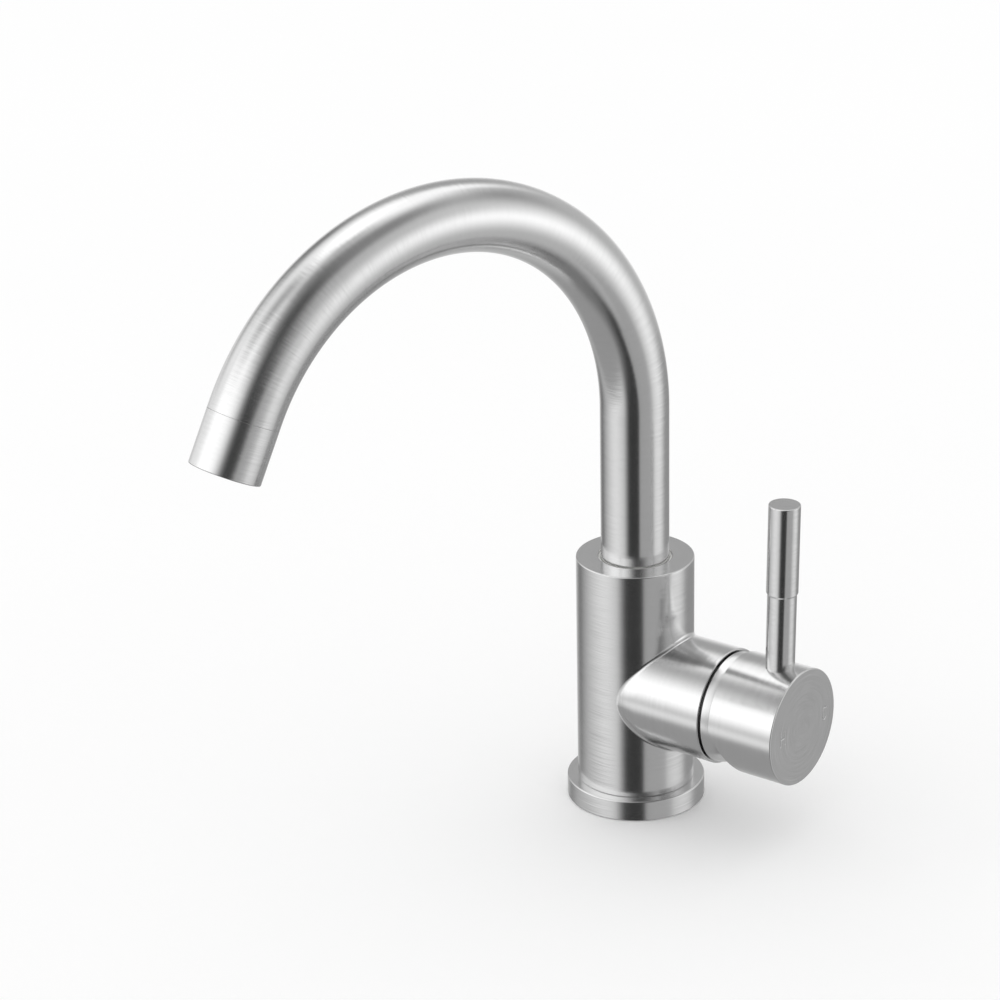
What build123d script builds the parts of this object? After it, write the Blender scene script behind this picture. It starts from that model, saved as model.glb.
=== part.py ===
"""Single-hole basin tap with a swivelling gooseneck spout and a side lever, in brushed stainless steel.

Millimetres, +Z up. The origin is the centre of the base on the deck. The valve housing and its
handle lie along +X, and the spout leans towards -Y, turned a little to -X as it was last left.
Each separate piece is one node, written to parts/NODE.step.
"""

import os
from math import asin, cos, hypot, radians, sin, sqrt, tan

from build123d import *

# Clearances, all on one side
RUNNING = 0.05
SLIDING = 0.12
FACE_GAP = 0.05
LOOSE = 0.3

# Small edges, and how far a cut runs past the face that it opens
EDGE_BREAK = 0.4
SCREW_CHAMFER = 0.3
PAST = 1.0

# Valve housing
CARTRIDGE_DIA = 35.0
HOUSING_WALL = 4.0
HOUSING_AXIS_Z = 46.3
HOUSING_BLEND = 1.6
SEAT_X = 9.7
THREAD_LENGTH = 6.1
THREAD_MARGIN = 1.4
THREAD_RUNOUT = 1.0

# Column and base
COLUMN_MARGIN = 0.15
FOOT_BREAK = 0.3
FLANGE_OVERHANG = 3.95
FLANGE_TOP = 8.0
SPIGOT_DIA = 35.8
SEAL_THICKNESS = 1.6
SEAL_PROUD = 0.3
SEAL_WIDTH = 5.4
SEAL_INSET = 0.7

# Underside connections and water passages
HOSE_THREAD_DIA = 9.0
HOSE_THREAD_DEPTH = 13.0
HOSE_OFFSET = 9.5
STUD_THREAD_DIA = 6.8
STUD_THREAD_DEPTH = 16.0
SUPPLY_DIA = 7.6
RISER_DIA = 8.5
INLET_PASSAGE_START = 2.0
DRILL_OVERRUN = 1.0

# Cartridge, stacked outwards from its seat
BASE_STAND_OFF = 0.5
BASE_PLATE = 1.7
BASE_HEIGHT = 5.8
DISC_STAND_OFF = 0.4
FIXED_DISC_THICKNESS = 4.5
MOVING_DISC_THICKNESS = 4.0
CARRIER_HEIGHT = 6.9
HOLDER_FLANGE_THICKNESS = 1.7
SHOULDER_THICKNESS = 1.4
SHELL_WALL = 1.9
SHELL_MARGIN = 0.1
FIXED_DISC_MARGIN = 0.6
MOVING_DISC_MARGIN = 0.4
HOLDER_FLANGE_MARGIN = 0.9
HOLDER_DIA = 20.6
HOLDER_PROUD = 0.5
NECK_WALL = 2.9
NECK_HEIGHT = 9.1
PEG_DIA = 3.4
PEG_LENGTH = 2.7
PEG_INSET = 3.0
PEG_ANGLE = 49.0
KEY_WIDTH = 2.4
KEY_HEIGHT = 1.0
KEY_TURNS = (90, 210, 330)
INLET_DIA = 5.4
INLET_ACROSS = 7.4
INLET_ABOVE = 3.4
OUTLET_DIA = 7.2
OUTLET_BELOW = 7.5
PORT_SEAL_WIDTH = 1.5
PORT_SEAL_HEIGHT = 1.5
PORT_SEAL_MARGIN = 0.3
POCKET_WIDTH = 17.0
POCKET_HEIGHT = 6.4
POCKET_CORNER = 3.0
POCKET_TOP = 2.1
POCKET_THROAT_DIA = 8.0
POCKET_THROAT_BELOW = 5.2
POCKET_DEPTH = 2.4
LUG_WIDTH = 4.0
LUG_LENGTH = 2.4
LUG_DEPTH = 2.8
LUG_TURNS = (30, 150, 270)
GUIDE_INSET = 2.0
GUIDE_WIDTH = 2.0
GUIDE_LENGTH = 14.6
GUIDE_DEPTH = 1.4
HOLDER_RING_SECTION = 1.4
HOLDER_RING_RISE = 2.4

# Stem of the cartridge and its pivot
PIVOT_RISE = 4.6
LEVER_TRAVEL = 25.0
STEM_SQUARE = 8.0
STEM_SHOULDER = 3.5
STEM_COVER = 3.5
STEM_NECK_DIA = 3.4
BALL_DIA = 5.2
BALL_REACH = 10.8
BALL_ROOM = 0.17
PIN_DIA = 3.0
PIN_SHORT = 1.3

# Retaining nut and domed bonnet
NUT_RECESS = 0.2
COLLAR_MARGIN = 1.5
COLLAR_RISE = 3.8
NUT_NOTCH_WIDTH = 3.0
NUT_NOTCH_DEPTH = 1.0
NUT_NOTCHES = 6
RING_SECTION = 1.5
RING_PROUD = 0.15
BONNET_GROOVE = 1.2
BONNET_STRIP = 4.7
DOME_WALL = 3.5
DOME_LIP_ANGLE = 3.0
STEM_ROOM = 0.5

# Handle
CAP_MARGIN = 0.2
CAP_LENGTH = 26.3
CAP_WALL = 1.5
BALL_GAP = 0.4
LEVER_INSET = 10.1
LEVER_LEAN = 0.9
LEVER_REACH = 84.3
ROD_DIA = 10.6
GRIP_LENGTH = 34.3
GRIP_STEP = 0.45
GRIP_STEP_HEIGHT = 0.7
LEVER_THREAD_DIA = 6.0
LEVER_THREAD_LENGTH = 9.0
GRUB_DIA = 5.0
GRUB_LENGTH = 9.0
GRUB_POINT_LENGTH = 1.2
GRUB_SOCKET_DEPTH = 2.6
GRUB_INSET = 7.5
PLUG_DIA = 6.4
PLUG_DEPTH = 2.5

# Spout
SPOUT_DIA = 25.0
SPOUT_WALL = 1.2
SPOUT_TURN = 14.5
SPOUT_RISE = 57.8
ARCH_RADIUS = 88.3
ARCH_SWEEP = 153.6
SPOUT_TAIL = 20.8
COLLAR_LENGTH = 19.2
COLLAR_SPIGOT = 6.0

# Spout foot in its socket, stacked upwards from the socket's floor
SOCKET_FLOOR_WALL = 3.9
SOCKET_MARGIN = 1.1
FOOT_LIFT = 1.0
FOOT_GAP = 0.3
FOOT_CHAMFER = 1.0
FIRST_RING_RISE = 3.5
RING_PITCH = 4.2
LOCK_RISE = 5.3
GLIDE_RISE = 3.3
GLIDE_HEIGHT = 1.8
GLIDE_DEPTH = 0.9
GLIDE_SPLIT = 2.0
FOOT_LAND = 0.9
FOOT_SPIGOT = 10.0
FOOT_SPIGOT_WALL = 2.45
O_RING_SECTION = 2.1
O_RING_SIDE_ROOM = 0.25
O_RING_FLOOR_ROOM = 0.1
LOCK_GROOVE = 4.0
LOCK_DEPTH = 1.1
LOCK_POINT_DIA = 3.0
LOCK_SINK = 1.0
BUSH_CLEARANCE = 3.6
BUSH_HEIGHT = 3.9
BUSH_RECESS = 0.6

# Aerator
AERATOR_MARGIN = 1.6
AERATOR_LENGTH = 9.0
AERATOR_RECESS = 1.2
AERATOR_WALL = 1.4
WATERWAY_MARGIN = 2.4
WASHER_THICKNESS = 1.6
KEY_NOTCH_WIDTH = 2.6
KEY_NOTCH_DEPTH = 1.5
KEY_NOTCHES = 4
SCREEN_SINK = 1.8
SCREEN_THICKNESS = 1.6
SCREEN_RIM = 1.0
SCREEN_PITCH = 3.2
SCREEN_BAR = 0.7
SHELF_LOW = 2.4
SHELF_HIGH = 3.6
DIFFUSER_THICKNESS = 1.4
DIFFUSER_HOLE_DIA = 1.4
DIFFUSER_CIRCLES = ((3.0, 6), (6.4, 12))

BOTTOM = (Align.CENTER, Align.CENTER, Align.MIN)

# Diameters that follow from the sizes above
housing_dia = CARTRIDGE_DIA + 2 * HOUSING_WALL
thread_dia = CARTRIDGE_DIA + 2 * THREAD_MARGIN
collar_dia = thread_dia - 2 * COLLAR_MARGIN
column_dia = housing_dia + 2 * COLUMN_MARGIN
flange_dia = column_dia + 2 * FLANGE_OVERHANG
cap_dia = housing_dia + 2 * CAP_MARGIN
grip_dia = ROD_DIA + 2 * GRIP_STEP
disc_bore_dia = CARTRIDGE_DIA - 2 * SHELL_WALL
fixed_disc_dia = disc_bore_dia - 2 * FIXED_DISC_MARGIN
disc_travel = BALL_REACH * sin(radians(LEVER_TRAVEL))
moving_disc_dia = disc_bore_dia - disc_travel - 2 * MOVING_DISC_MARGIN
neck_dia = HOLDER_DIA + 2 * NECK_WALL
socket_dia = SPOUT_DIA + 2 * SOCKET_MARGIN
foot_dia = socket_dia - 2 * FOOT_GAP
aerator_dia = SPOUT_DIA - 2 * AERATOR_MARGIN
waterway_dia = aerator_dia - 2 * WATERWAY_MARGIN
spigot_radius = SPOUT_DIA / 2 - SPOUT_WALL - RUNNING

# Places along the housing, from the cartridge's seat outwards
base_start = SEAT_X + BASE_STAND_OFF
base_top = base_start + BASE_HEIGHT
fixed_start = base_top + DISC_STAND_OFF
moving_start = fixed_start + FIXED_DISC_THICKNESS + FACE_GAP
carrier_start = moving_start + MOVING_DISC_THICKNESS + FACE_GAP
carrier_top = carrier_start + CARRIER_HEIGHT
guide_low = carrier_top - GUIDE_DEPTH
holder_start = carrier_top + LOOSE
holder_top = holder_start + HOLDER_FLANGE_THICKNESS
shell_inner_top = holder_top + 2 * FACE_GAP
shell_shoulder = shell_inner_top + SHOULDER_THICKNESS
nut_start = shell_shoulder + FACE_GAP
pivot_x = shell_shoulder + PIVOT_RISE
ball_x = pivot_x - BALL_REACH
neck_end = shell_shoulder + NECK_HEIGHT
holder_end = neck_end + HOLDER_PROUD
housing_end = shell_shoulder + THREAD_LENGTH
collar_end = housing_end + COLLAR_RISE
dome_start = housing_end + BONNET_GROOVE
cap_rim = housing_end + BONNET_STRIP
cap_face = cap_rim + CAP_LENGTH
stem_end = cap_face - STEM_COVER
lever_x = cap_face - LEVER_INSET
grub_x = cap_face - GRUB_INSET

# The handle's hollow and the bonnet are balls about the pivot
hollow_radius = hypot(cap_dia / 2 - CAP_WALL, cap_rim - pivot_x)
dome_radius = hollow_radius - BALL_GAP
stem_sweep = radians(LEVER_TRAVEL) + asin((STEM_SQUARE / sqrt(2) + STEM_ROOM) / dome_radius)
dome_end = pivot_x + dome_radius * cos(stem_sweep + radians(DOME_LIP_ANGLE))
lever_seat = sqrt((cap_dia / 2) ** 2 - (ROD_DIA / 2) ** 2)

# Heights in the column, from the housing upwards
flange_floor = SEAL_PROUD
seal_outer = flange_dia - 2 * SEAL_INSET
seal_inner = seal_outer - 2 * SEAL_WIDTH
socket_floor = HOUSING_AXIS_Z + CARTRIDGE_DIA / 2 + LOOSE + SOCKET_FLOOR_WALL
foot_low = socket_floor + FOOT_LIFT
ring_heights = (foot_low + FIRST_RING_RISE, foot_low + FIRST_RING_RISE + RING_PITCH)
lock_height = ring_heights[1] + LOCK_RISE
glide_low = lock_height + GLIDE_RISE
foot_shoulder = glide_low + GLIDE_HEIGHT + FOOT_LAND
bush_low = foot_shoulder + BUSH_CLEARANCE
column_top = bush_low + BUSH_HEIGHT + BUSH_RECESS
arch_start = column_top + SPOUT_RISE
riser_floor = HOUSING_AXIS_Z - OUTLET_BELOW - OUTLET_DIA / 2 - DRILL_OVERRUN
supply_top = HOUSING_AXIS_Z + INLET_ABOVE + INLET_DIA / 2 + DRILL_OVERRUN

# Places along the outlet, whose mouth is at zero
aerator_low = -(AERATOR_RECESS + AERATOR_LENGTH)
washer_low = aerator_low - FACE_GAP - WASHER_THICKNESS

# In the housing's frame local X is the row's Y, local Y is up and local Z runs outwards
HOUSING_PLANE = Plane(origin=(0, 0, HOUSING_AXIS_Z), x_dir=(0, 1, 0), z_dir=(1, 0, 0))


def disc(dia, low, high):
    """A round bar along local Z from low to high."""
    return Pos(0, 0, low) * Cylinder(dia / 2, high - low, align=BOTTOM)


def ring(outer, inner, low, high):
    """A plain ring along local Z."""
    return disc(outer, low, high) - disc(inner, low - PAST, high + PAST)


def turned(*points):
    """A piece turned about local Z from (radius, height) corners."""
    return revolve(Plane.XZ * make_face(Polyline(*points, close=True)), Axis.Z)


def block(across, up, low, high, offset=0):
    """A square bar along local Z, with its middle raised by offset."""
    return Pos(0, offset, low) * Box(across, up, high - low, align=BOTTOM)


def outer_edges(shape):
    """The edges at the far end of a piece along local Z."""
    return shape.edges().group_by(Axis.Z)[-1]


def hex_socket(across_flats, low, high):
    """A hexagonal key socket along local Z."""
    return Pos(0, 0, low) * extrude(RegularPolygon(across_flats / 2, 6, major_radius=False), high - low)


def grub_screw(dia, length, point_dia):
    """A socket screw with a turned-down point, its point at local zero."""
    shank = chamfer(disc(dia, GRUB_POINT_LENGTH, length).edges(), SCREW_CHAMFER)
    screw = disc(point_dia, 0, GRUB_POINT_LENGTH) + shank
    return screw - hex_socket(dia / 2, length - GRUB_SOCKET_DEPTH, length + PAST)


# Column, base and housing


def faucet_body():
    """Column and side housing in one piece, with the water passages drilled in it."""
    column = disc(column_dia, FLANGE_TOP, column_top)
    column = chamfer(outer_edges(column), EDGE_BREAK)
    column = chamfer(column.edges().group_by(Axis.Z)[0], FOOT_BREAK)
    housing = disc(housing_dia, 0, housing_end)
    housing = HOUSING_PLANE * chamfer(outer_edges(housing), EDGE_BREAK)
    body = column + housing
    body = fillet(new_edges(column, housing, combined=body), HOUSING_BLEND)
    body += disc(SPIGOT_DIA, flange_floor, FLANGE_TOP)
    for cut in (*valve_chamber(), *water_passages(), *spout_socket()):
        body -= cut
    return body - disc(STUD_THREAD_DIA, 0, STUD_THREAD_DEPTH)


def valve_chamber():
    """Cuts for the cartridge, its nut's thread, its ports and its locating pegs."""
    cuts = [
        disc(CARTRIDGE_DIA + 2 * LOOSE, SEAT_X, housing_end + PAST),
        disc(thread_dia, nut_start - THREAD_RUNOUT, housing_end + PAST),
        *at_ports(lambda dia: disc(dia, INLET_PASSAGE_START, SEAT_X + PAST)),
        *at_pegs(disc(PEG_DIA + 2 * SLIDING, SEAT_X - PEG_LENGTH - LOOSE, SEAT_X + PAST)),
    ]
    return [HOUSING_PLANE * cut for cut in cuts]


def water_passages():
    """Cuts for the two supplies below the housing and for the riser to the spout."""
    cuts = [disc(RISER_DIA, riser_floor, socket_floor + PAST)]
    for side in (-1, 1):
        cuts.append(Pos(0, side * HOSE_OFFSET) * disc(SUPPLY_DIA, HOSE_THREAD_DEPTH - PAST, supply_top))
        cuts.append(Pos(0, side * HOSE_OFFSET) * disc(HOSE_THREAD_DIA, 0, HOSE_THREAD_DEPTH))
    return cuts


def spout_socket():
    """Cuts for the spout's foot and the screw that locks it."""
    socket = disc(socket_dia, socket_floor, column_top + PAST)
    return socket, lock_place() * disc(GRUB_DIA + 2 * RUNNING, 0, column_dia)


def base_flange():
    """Flat ring under the column, grooved below for its seal."""
    radius, bore = flange_dia / 2, SPIGOT_DIA / 2 + RUNNING
    body = turned(
        (bore, flange_floor),
        (radius - EDGE_BREAK / 2, flange_floor),
        (radius, flange_floor + EDGE_BREAK / 2),
        (radius, FLANGE_TOP - EDGE_BREAK),
        (radius - EDGE_BREAK, FLANGE_TOP),
        (bore, FLANGE_TOP),
    )
    return body - ring(seal_outer, seal_inner, 0, SEAL_THICKNESS)


def base_seal():
    """Rubber ring that stands a little proud of the flange and meets the deck."""
    return ring(seal_outer - 2 * RUNNING, seal_inner + 2 * RUNNING, 0, SEAL_THICKNESS)


def lock_tip():
    """Radius at which the spout's locking screw ends, just off the floor of the foot's groove."""
    return foot_dia / 2 - LOCK_DEPTH + LOOSE


def lock_place():
    """Where the locking screw lies: its point in the foot's groove, its axis to the back."""
    return Plane(origin=(0, lock_tip(), lock_height), x_dir=(1, 0, 0), z_dir=(0, 1, 0))


def spout_lock_screw():
    """Screw in the back of the column that keeps the spout from lifting out."""
    length = column_dia / 2 - LOCK_SINK - lock_tip()
    return lock_place() * grub_screw(GRUB_DIA, length, LOCK_POINT_DIA)


def top_bush():
    """Plastic ring that steadies the tube in the mouth of the column."""
    return ring(socket_dia - 2 * RUNNING, SPOUT_DIA + 2 * RUNNING, bush_low, bush_low + BUSH_HEIGHT)


# Cartridge


def at_ports(make):
    """One copy of make(diameter) at each water port, in the housing's frame."""
    return (
        Pos(-INLET_ACROSS, INLET_ABOVE) * make(INLET_DIA),
        Pos(INLET_ACROSS, INLET_ABOVE) * make(INLET_DIA),
        Pos(0, -OUTLET_BELOW) * make(OUTLET_DIA),
    )


def at_pegs(shape):
    """One copy of a piece at each locating peg."""
    circle = CARTRIDGE_DIA / 2 - PEG_INSET
    return [Rot(0, 0, 270 + side * PEG_ANGLE) * Pos(circle, 0) * shape for side in (-1, 1)]


def key_slots(radius, low, high, clearance):
    """The three keys that stop the fixed disc from turning, from the shell's bore inwards."""
    key = block(2 * KEY_HEIGHT, KEY_WIDTH + 2 * clearance, low, high)
    return [Rot(0, 0, turn) * Pos(radius, 0) * key for turn in KEY_TURNS]


def seal_ring(dia, low, high, clearance):
    """The ring round one port, or with a clearance the groove that it lies in."""
    inner = dia + 2 * PORT_SEAL_MARGIN
    outer = inner + 2 * PORT_SEAL_WIDTH
    return ring(outer + 2 * clearance, inner - 2 * clearance, low, high)


def cartridge_base():
    """Bottom plate of the cartridge with its ports, seal grooves and locating pegs."""
    body = disc(CARTRIDGE_DIA - 2 * SHELL_MARGIN, base_start, base_start + BASE_PLATE)
    body += disc(disc_bore_dia - 2 * SLIDING, base_start, base_top)
    peg = disc(PEG_DIA, SEAT_X - PEG_LENGTH, base_start)
    peg = chamfer(peg.edges().group_by(Axis.Z)[0], EDGE_BREAK)
    for placed in at_pegs(peg):
        body += placed
    below = SEAT_X + 2 * FACE_GAP + PORT_SEAL_HEIGHT
    above = fixed_start - 2 * FACE_GAP - PORT_SEAL_HEIGHT
    for cut in (
        *at_ports(lambda dia: disc(dia, base_start - PAST, base_top + PAST)),
        *at_ports(lambda dia: seal_ring(dia, base_start - PAST, below, RUNNING)),
        *at_ports(lambda dia: seal_ring(dia, above, base_top + PAST, RUNNING)),
        *key_slots(disc_bore_dia / 2, base_start + BASE_PLATE, base_top + PAST, 2 * SLIDING),
    ):
        body -= cut
    return HOUSING_PLANE * body


def port_seals(low):
    """Three rubber rings, one round each port, from low to low plus their height."""
    rings = at_ports(lambda dia: seal_ring(dia, low, low + PORT_SEAL_HEIGHT, 0))
    return HOUSING_PLANE * Compound(rings)


def seat_seals():
    """Rings between the cartridge and the seat in the body."""
    return port_seals(SEAT_X + FACE_GAP)


def disc_seals():
    """Rings between the bottom plate and the fixed ceramic disc."""
    return port_seals(fixed_start - FACE_GAP - PORT_SEAL_HEIGHT)


def cartridge_housing():
    """Plastic shell of the cartridge, with a neck that the lever holder turns in."""
    outer, bore, neck = CARTRIDGE_DIA / 2, disc_bore_dia / 2, neck_dia / 2
    low = base_start + BASE_PLATE + FACE_GAP
    holder = HOLDER_DIA / 2 + RUNNING
    shell = turned(
        (bore, low),
        (outer, low),
        (outer, shell_shoulder),
        (neck, shell_shoulder),
        (neck, neck_end - EDGE_BREAK),
        (neck - EDGE_BREAK, neck_end),
        (holder, neck_end),
        (holder, shell_inner_top),
        (bore, shell_inner_top),
    )
    for key in key_slots(bore, low, fixed_start + FIXED_DISC_THICKNESS / 2, 0):
        shell += key & disc(CARTRIDGE_DIA - 2 * SHELL_MARGIN, low, pivot_x)
    return HOUSING_PLANE * shell


def fixed_disc():
    """Ceramic disc that stands still, with two inlets and one outlet."""
    high = fixed_start + FIXED_DISC_THICKNESS
    body = disc(fixed_disc_dia, fixed_start, high)
    for cut in (
        *at_ports(lambda dia: disc(dia, fixed_start - PAST, high + PAST)),
        *key_slots(disc_bore_dia / 2, fixed_start - PAST, high + PAST, 2 * SLIDING),
    ):
        body -= cut
    return HOUSING_PLANE * body


def at_lugs(shape):
    """One copy of a piece at each lug, which lies just inside the moving disc's rim."""
    reach = moving_disc_dia / 2 - LUG_LENGTH / 2
    return [Rot(0, 0, turn) * Pos(reach, 0) * shape for turn in LUG_TURNS]


def moving_disc():
    """Ceramic disc that slides and turns on the fixed one, with a mixing pocket below."""
    high = moving_start + MOVING_DISC_THICKNESS
    body = disc(moving_disc_dia, moving_start, high)
    pocket = Pos(0, POCKET_TOP - POCKET_HEIGHT / 2) * RectangleRounded(POCKET_WIDTH, POCKET_HEIGHT, POCKET_CORNER)
    pocket += Pos(0, -POCKET_THROAT_BELOW) * Circle(POCKET_THROAT_DIA / 2)
    body -= Pos(0, 0, moving_start) * extrude(pocket, POCKET_DEPTH)
    length, width = LUG_LENGTH + 4 * SLIDING, LUG_WIDTH + 2 * SLIDING
    for cut in at_lugs(Pos(SLIDING, 0) * block(length, width, moving_start - PAST, high + PAST)):
        body -= cut
    return HOUSING_PLANE * Pos(0, -disc_travel / 2) * body


def disc_carrier():
    """Plastic slide over the moving disc, with a socket for the stem's ball and two guide grooves."""
    body = disc(moving_disc_dia, carrier_start, carrier_top)
    for lug in at_lugs(block(LUG_LENGTH, LUG_WIDTH, carrier_start - LUG_DEPTH, carrier_start)):
        body += lug & disc(moving_disc_dia, moving_start, carrier_start)
    groove = block(GUIDE_WIDTH + 2 * SLIDING, moving_disc_dia + PAST, guide_low - LOOSE, carrier_top + PAST)
    for placed in at_guides(groove):
        body -= placed
    socket = BALL_DIA + 2 * BALL_ROOM
    flare = socket + 2 * disc_travel * (carrier_top - ball_x) / BALL_REACH
    centre = disc_travel / 2
    body -= block(socket, socket, ball_x - BALL_DIA / 2 - LOOSE, carrier_top + PAST, centre)
    body -= block(socket, flare, ball_x + BALL_DIA / 4, carrier_top + PAST, centre)
    return HOUSING_PLANE * Pos(0, -disc_travel / 2) * body


def at_guides(shape):
    """One copy of a piece on each side, where the holder's ribs guide the carrier."""
    across = HOLDER_DIA / 2 - GUIDE_INSET
    return [Pos(side * across, 0) * shape for side in (-1, 1)]


def lever_holder():
    """Turret that turns in the neck and carries the stem on its pin."""
    body = disc(disc_bore_dia - 2 * HOLDER_FLANGE_MARGIN, holder_start, holder_top)
    body += disc(HOLDER_DIA, holder_start, holder_end)
    for rib in at_guides(block(GUIDE_WIDTH, GUIDE_LENGTH, guide_low, holder_start)):
        body += rib
    half = STEM_SQUARE / 2 + SLIDING
    slope, slanted = tan(radians(LEVER_TRAVEL)), half / cos(radians(LEVER_TRAVEL))
    opened = (holder_end - pivot_x) * slope + slanted + SLIDING
    back = disc_travel + BALL_DIA / 2 + SLIDING
    body -= block(2 * half, slanted + opened, pivot_x, holder_end + PAST, (slanted - opened) / 2)
    body -= block(2 * half, slanted + back, guide_low - PAST, pivot_x, (back - slanted) / 2)
    body -= pin_place() * disc(PIN_DIA + 2 * RUNNING, -HOLDER_DIA, HOLDER_DIA)
    low, high = holder_ring_x() - ring_half(), holder_ring_x() + ring_half()
    body -= ring(HOLDER_DIA + PAST, HOLDER_DIA - 2 * HOLDER_RING_SECTION, low, high)
    return HOUSING_PLANE * body


def holder_ring_x():
    """Middle of the holder's sealing groove."""
    return holder_top + HOLDER_RING_RISE


def ring_half():
    """Half the width of the holder's sealing groove."""
    return HOLDER_RING_SECTION / 2 + O_RING_FLOOR_ROOM


def holder_o_ring():
    """Rubber ring that keeps water from creeping up the neck."""
    section = HOLDER_RING_SECTION / 2 - RUNNING
    radius = HOLDER_DIA / 2 - section
    return HOUSING_PLANE * Pos(0, 0, holder_ring_x()) * Torus(radius, section)


def pin_place():
    """The pivot's axis in the housing's frame."""
    return Plane(origin=(0, 0, pivot_x), x_dir=(0, 1, 0), z_dir=(1, 0, 0))


def pivot_pin():
    """Steel pin that the stem rocks on."""
    half = HOLDER_DIA / 2 - PIN_SHORT
    return HOUSING_PLANE * pin_place() * chamfer(disc(PIN_DIA, -half, half).edges(), SCREW_CHAMFER)


def cartridge_stem():
    """Square stem that rocks on the pin, its ball end in the disc carrier."""
    body = block(STEM_SQUARE, STEM_SQUARE, pivot_x - STEM_SHOULDER, stem_end)
    body = chamfer(outer_edges(body), EDGE_BREAK)
    body = chamfer(body.edges().group_by(Axis.Z)[0], 2 * EDGE_BREAK)
    body += disc(STEM_NECK_DIA, ball_x, pivot_x)
    body += Pos(0, 0, ball_x) * Sphere(BALL_DIA / 2)
    body -= pin_place() * disc(PIN_DIA + 2 * RUNNING, -STEM_SQUARE, STEM_SQUARE)
    return HOUSING_PLANE * body


def cartridge_nut():
    """Ring nut that clamps the cartridge, with a notched collar that carries the bonnet."""
    thread, collar, bore = thread_dia / 2 - RUNNING, collar_dia / 2, neck_dia / 2 + LOOSE
    floor, shoulder = collar - RING_SECTION + RING_PROUD, housing_end - NUT_RECESS
    body = turned(
        (bore, nut_start),
        (thread, nut_start),
        (thread, shoulder),
        (collar, shoulder),
        (collar, bonnet_ring_x() - RING_SECTION / 2),
        (floor, bonnet_ring_x() - RING_SECTION / 2),
        (floor, bonnet_ring_x() + RING_SECTION / 2),
        (collar, bonnet_ring_x() + RING_SECTION / 2),
        (collar, collar_end),
        (bore, collar_end),
    )
    notch = block(NUT_NOTCH_WIDTH, collar_dia, collar_end - NUT_NOTCH_DEPTH, collar_end + PAST)
    for step in range(NUT_NOTCHES):
        body -= Rot(0, 0, 360 * step / NUT_NOTCHES) * Pos(0, collar_dia / 2) * notch
    return HOUSING_PLANE * body


def bonnet_ring_x():
    """Middle of the groove for the ring that grips the bonnet."""
    return (dome_start + collar_end) / 2


def bonnet_o_ring():
    """Rubber ring in the collar's groove that grips the bonnet."""
    section = RING_SECTION / 2 - RUNNING
    radius = collar_dia / 2 + RING_PROUD - RUNNING - section
    return HOUSING_PLANE * Pos(0, 0, bonnet_ring_x()) * Torus(radius, section)


def bonnet_dome():
    """Ball-shaped bonnet round the pivot, which the handle's hollow swings over."""
    shell = Pos(0, 0, pivot_x) * (Sphere(dome_radius) - Sphere(dome_radius - DOME_WALL))
    shell &= disc(3 * dome_radius, dome_start, dome_end)
    shell -= disc(collar_dia + 2 * (RING_PROUD + RUNNING), dome_start - PAST, collar_end + LOOSE)
    shell -= disc(2 * dome_radius * sin(stem_sweep), dome_start - PAST, dome_end + PAST)
    return HOUSING_PLANE * shell


# Handle


def handle_cap():
    """Round handle head, hollowed as a ball, its rim cut back below at the angle it opens to."""
    body = chamfer(outer_edges(disc(cap_dia, cap_rim, cap_face)), EDGE_BREAK)
    body -= Pos(0, 0, pivot_x) * Sphere(hollow_radius)
    below = (Align.CENTER, Align.MAX, Align.MAX)
    body -= Pos(0, 0, cap_rim) * Rot(-LEVER_TRAVEL, 0, 0) * Box(*(3 * cap_dia,) * 3, align=below)
    socket = STEM_SQUARE + 2 * RUNNING
    body -= block(socket, socket, cap_rim, stem_end + LOOSE)
    thread_end = lever_seat - LEVER_THREAD_LENGTH - LOOSE
    body -= lever_place() * disc(ROD_DIA + 2 * RUNNING, lever_seat, cap_dia)
    body -= lever_place() * disc(LEVER_THREAD_DIA + 2 * RUNNING, thread_end, cap_dia)
    body -= grub_place() * disc(GRUB_DIA + 2 * RUNNING, 0, cap_dia)
    body -= grub_place() * disc(PLUG_DIA + 2 * RUNNING, cap_dia / 2 - PLUG_DEPTH, cap_dia)
    return HOUSING_PLANE * body


def lever_place():
    """Lever axis in the housing's frame, standing up and leaning slightly outwards."""
    lean = radians(LEVER_LEAN)
    return Plane(origin=(0, 0, lever_x), x_dir=(1, 0, 0), z_dir=(0, cos(lean), sin(lean)))


def grub_place():
    """Axis of the handle's fixing screw, pointing down from the stem."""
    return Plane(origin=(0, 0, grub_x), x_dir=(1, 0, 0), z_dir=(0, -1, 0))


def handle_lever():
    """Turned lever: threaded end, slim rod and slightly thicker grip."""
    thread, rod, grip = LEVER_THREAD_DIA / 2, ROD_DIA / 2, grip_dia / 2
    thread_end, grip_start = lever_seat - LEVER_THREAD_LENGTH, LEVER_REACH - GRIP_LENGTH
    body = turned(
        (0, thread_end),
        (thread - EDGE_BREAK, thread_end),
        (thread, thread_end + EDGE_BREAK),
        (thread, lever_seat),
        (rod, lever_seat),
        (rod, grip_start),
        (grip, grip_start + GRIP_STEP_HEIGHT),
        (grip, LEVER_REACH - EDGE_BREAK),
        (grip - EDGE_BREAK, LEVER_REACH),
        (0, LEVER_REACH),
    )
    return HOUSING_PLANE * lever_place() * body


def handle_set_screw():
    """Screw that holds the handle on its square stem."""
    screw = grub_screw(GRUB_DIA, GRUB_LENGTH, GRUB_DIA - 4 * EDGE_BREAK)
    return HOUSING_PLANE * grub_place() * Pos(0, 0, STEM_SQUARE / 2 + FACE_GAP) * screw


def set_screw_plug():
    """Small plug over the fixing screw's hole, flush with the handle's underside."""
    plug = grub_place() * disc(PLUG_DIA, cap_dia / 2 - PLUG_DEPTH + FACE_GAP, cap_dia)
    return HOUSING_PLANE * (plug & disc(cap_dia, 0, cap_face))


# Spout


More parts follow.
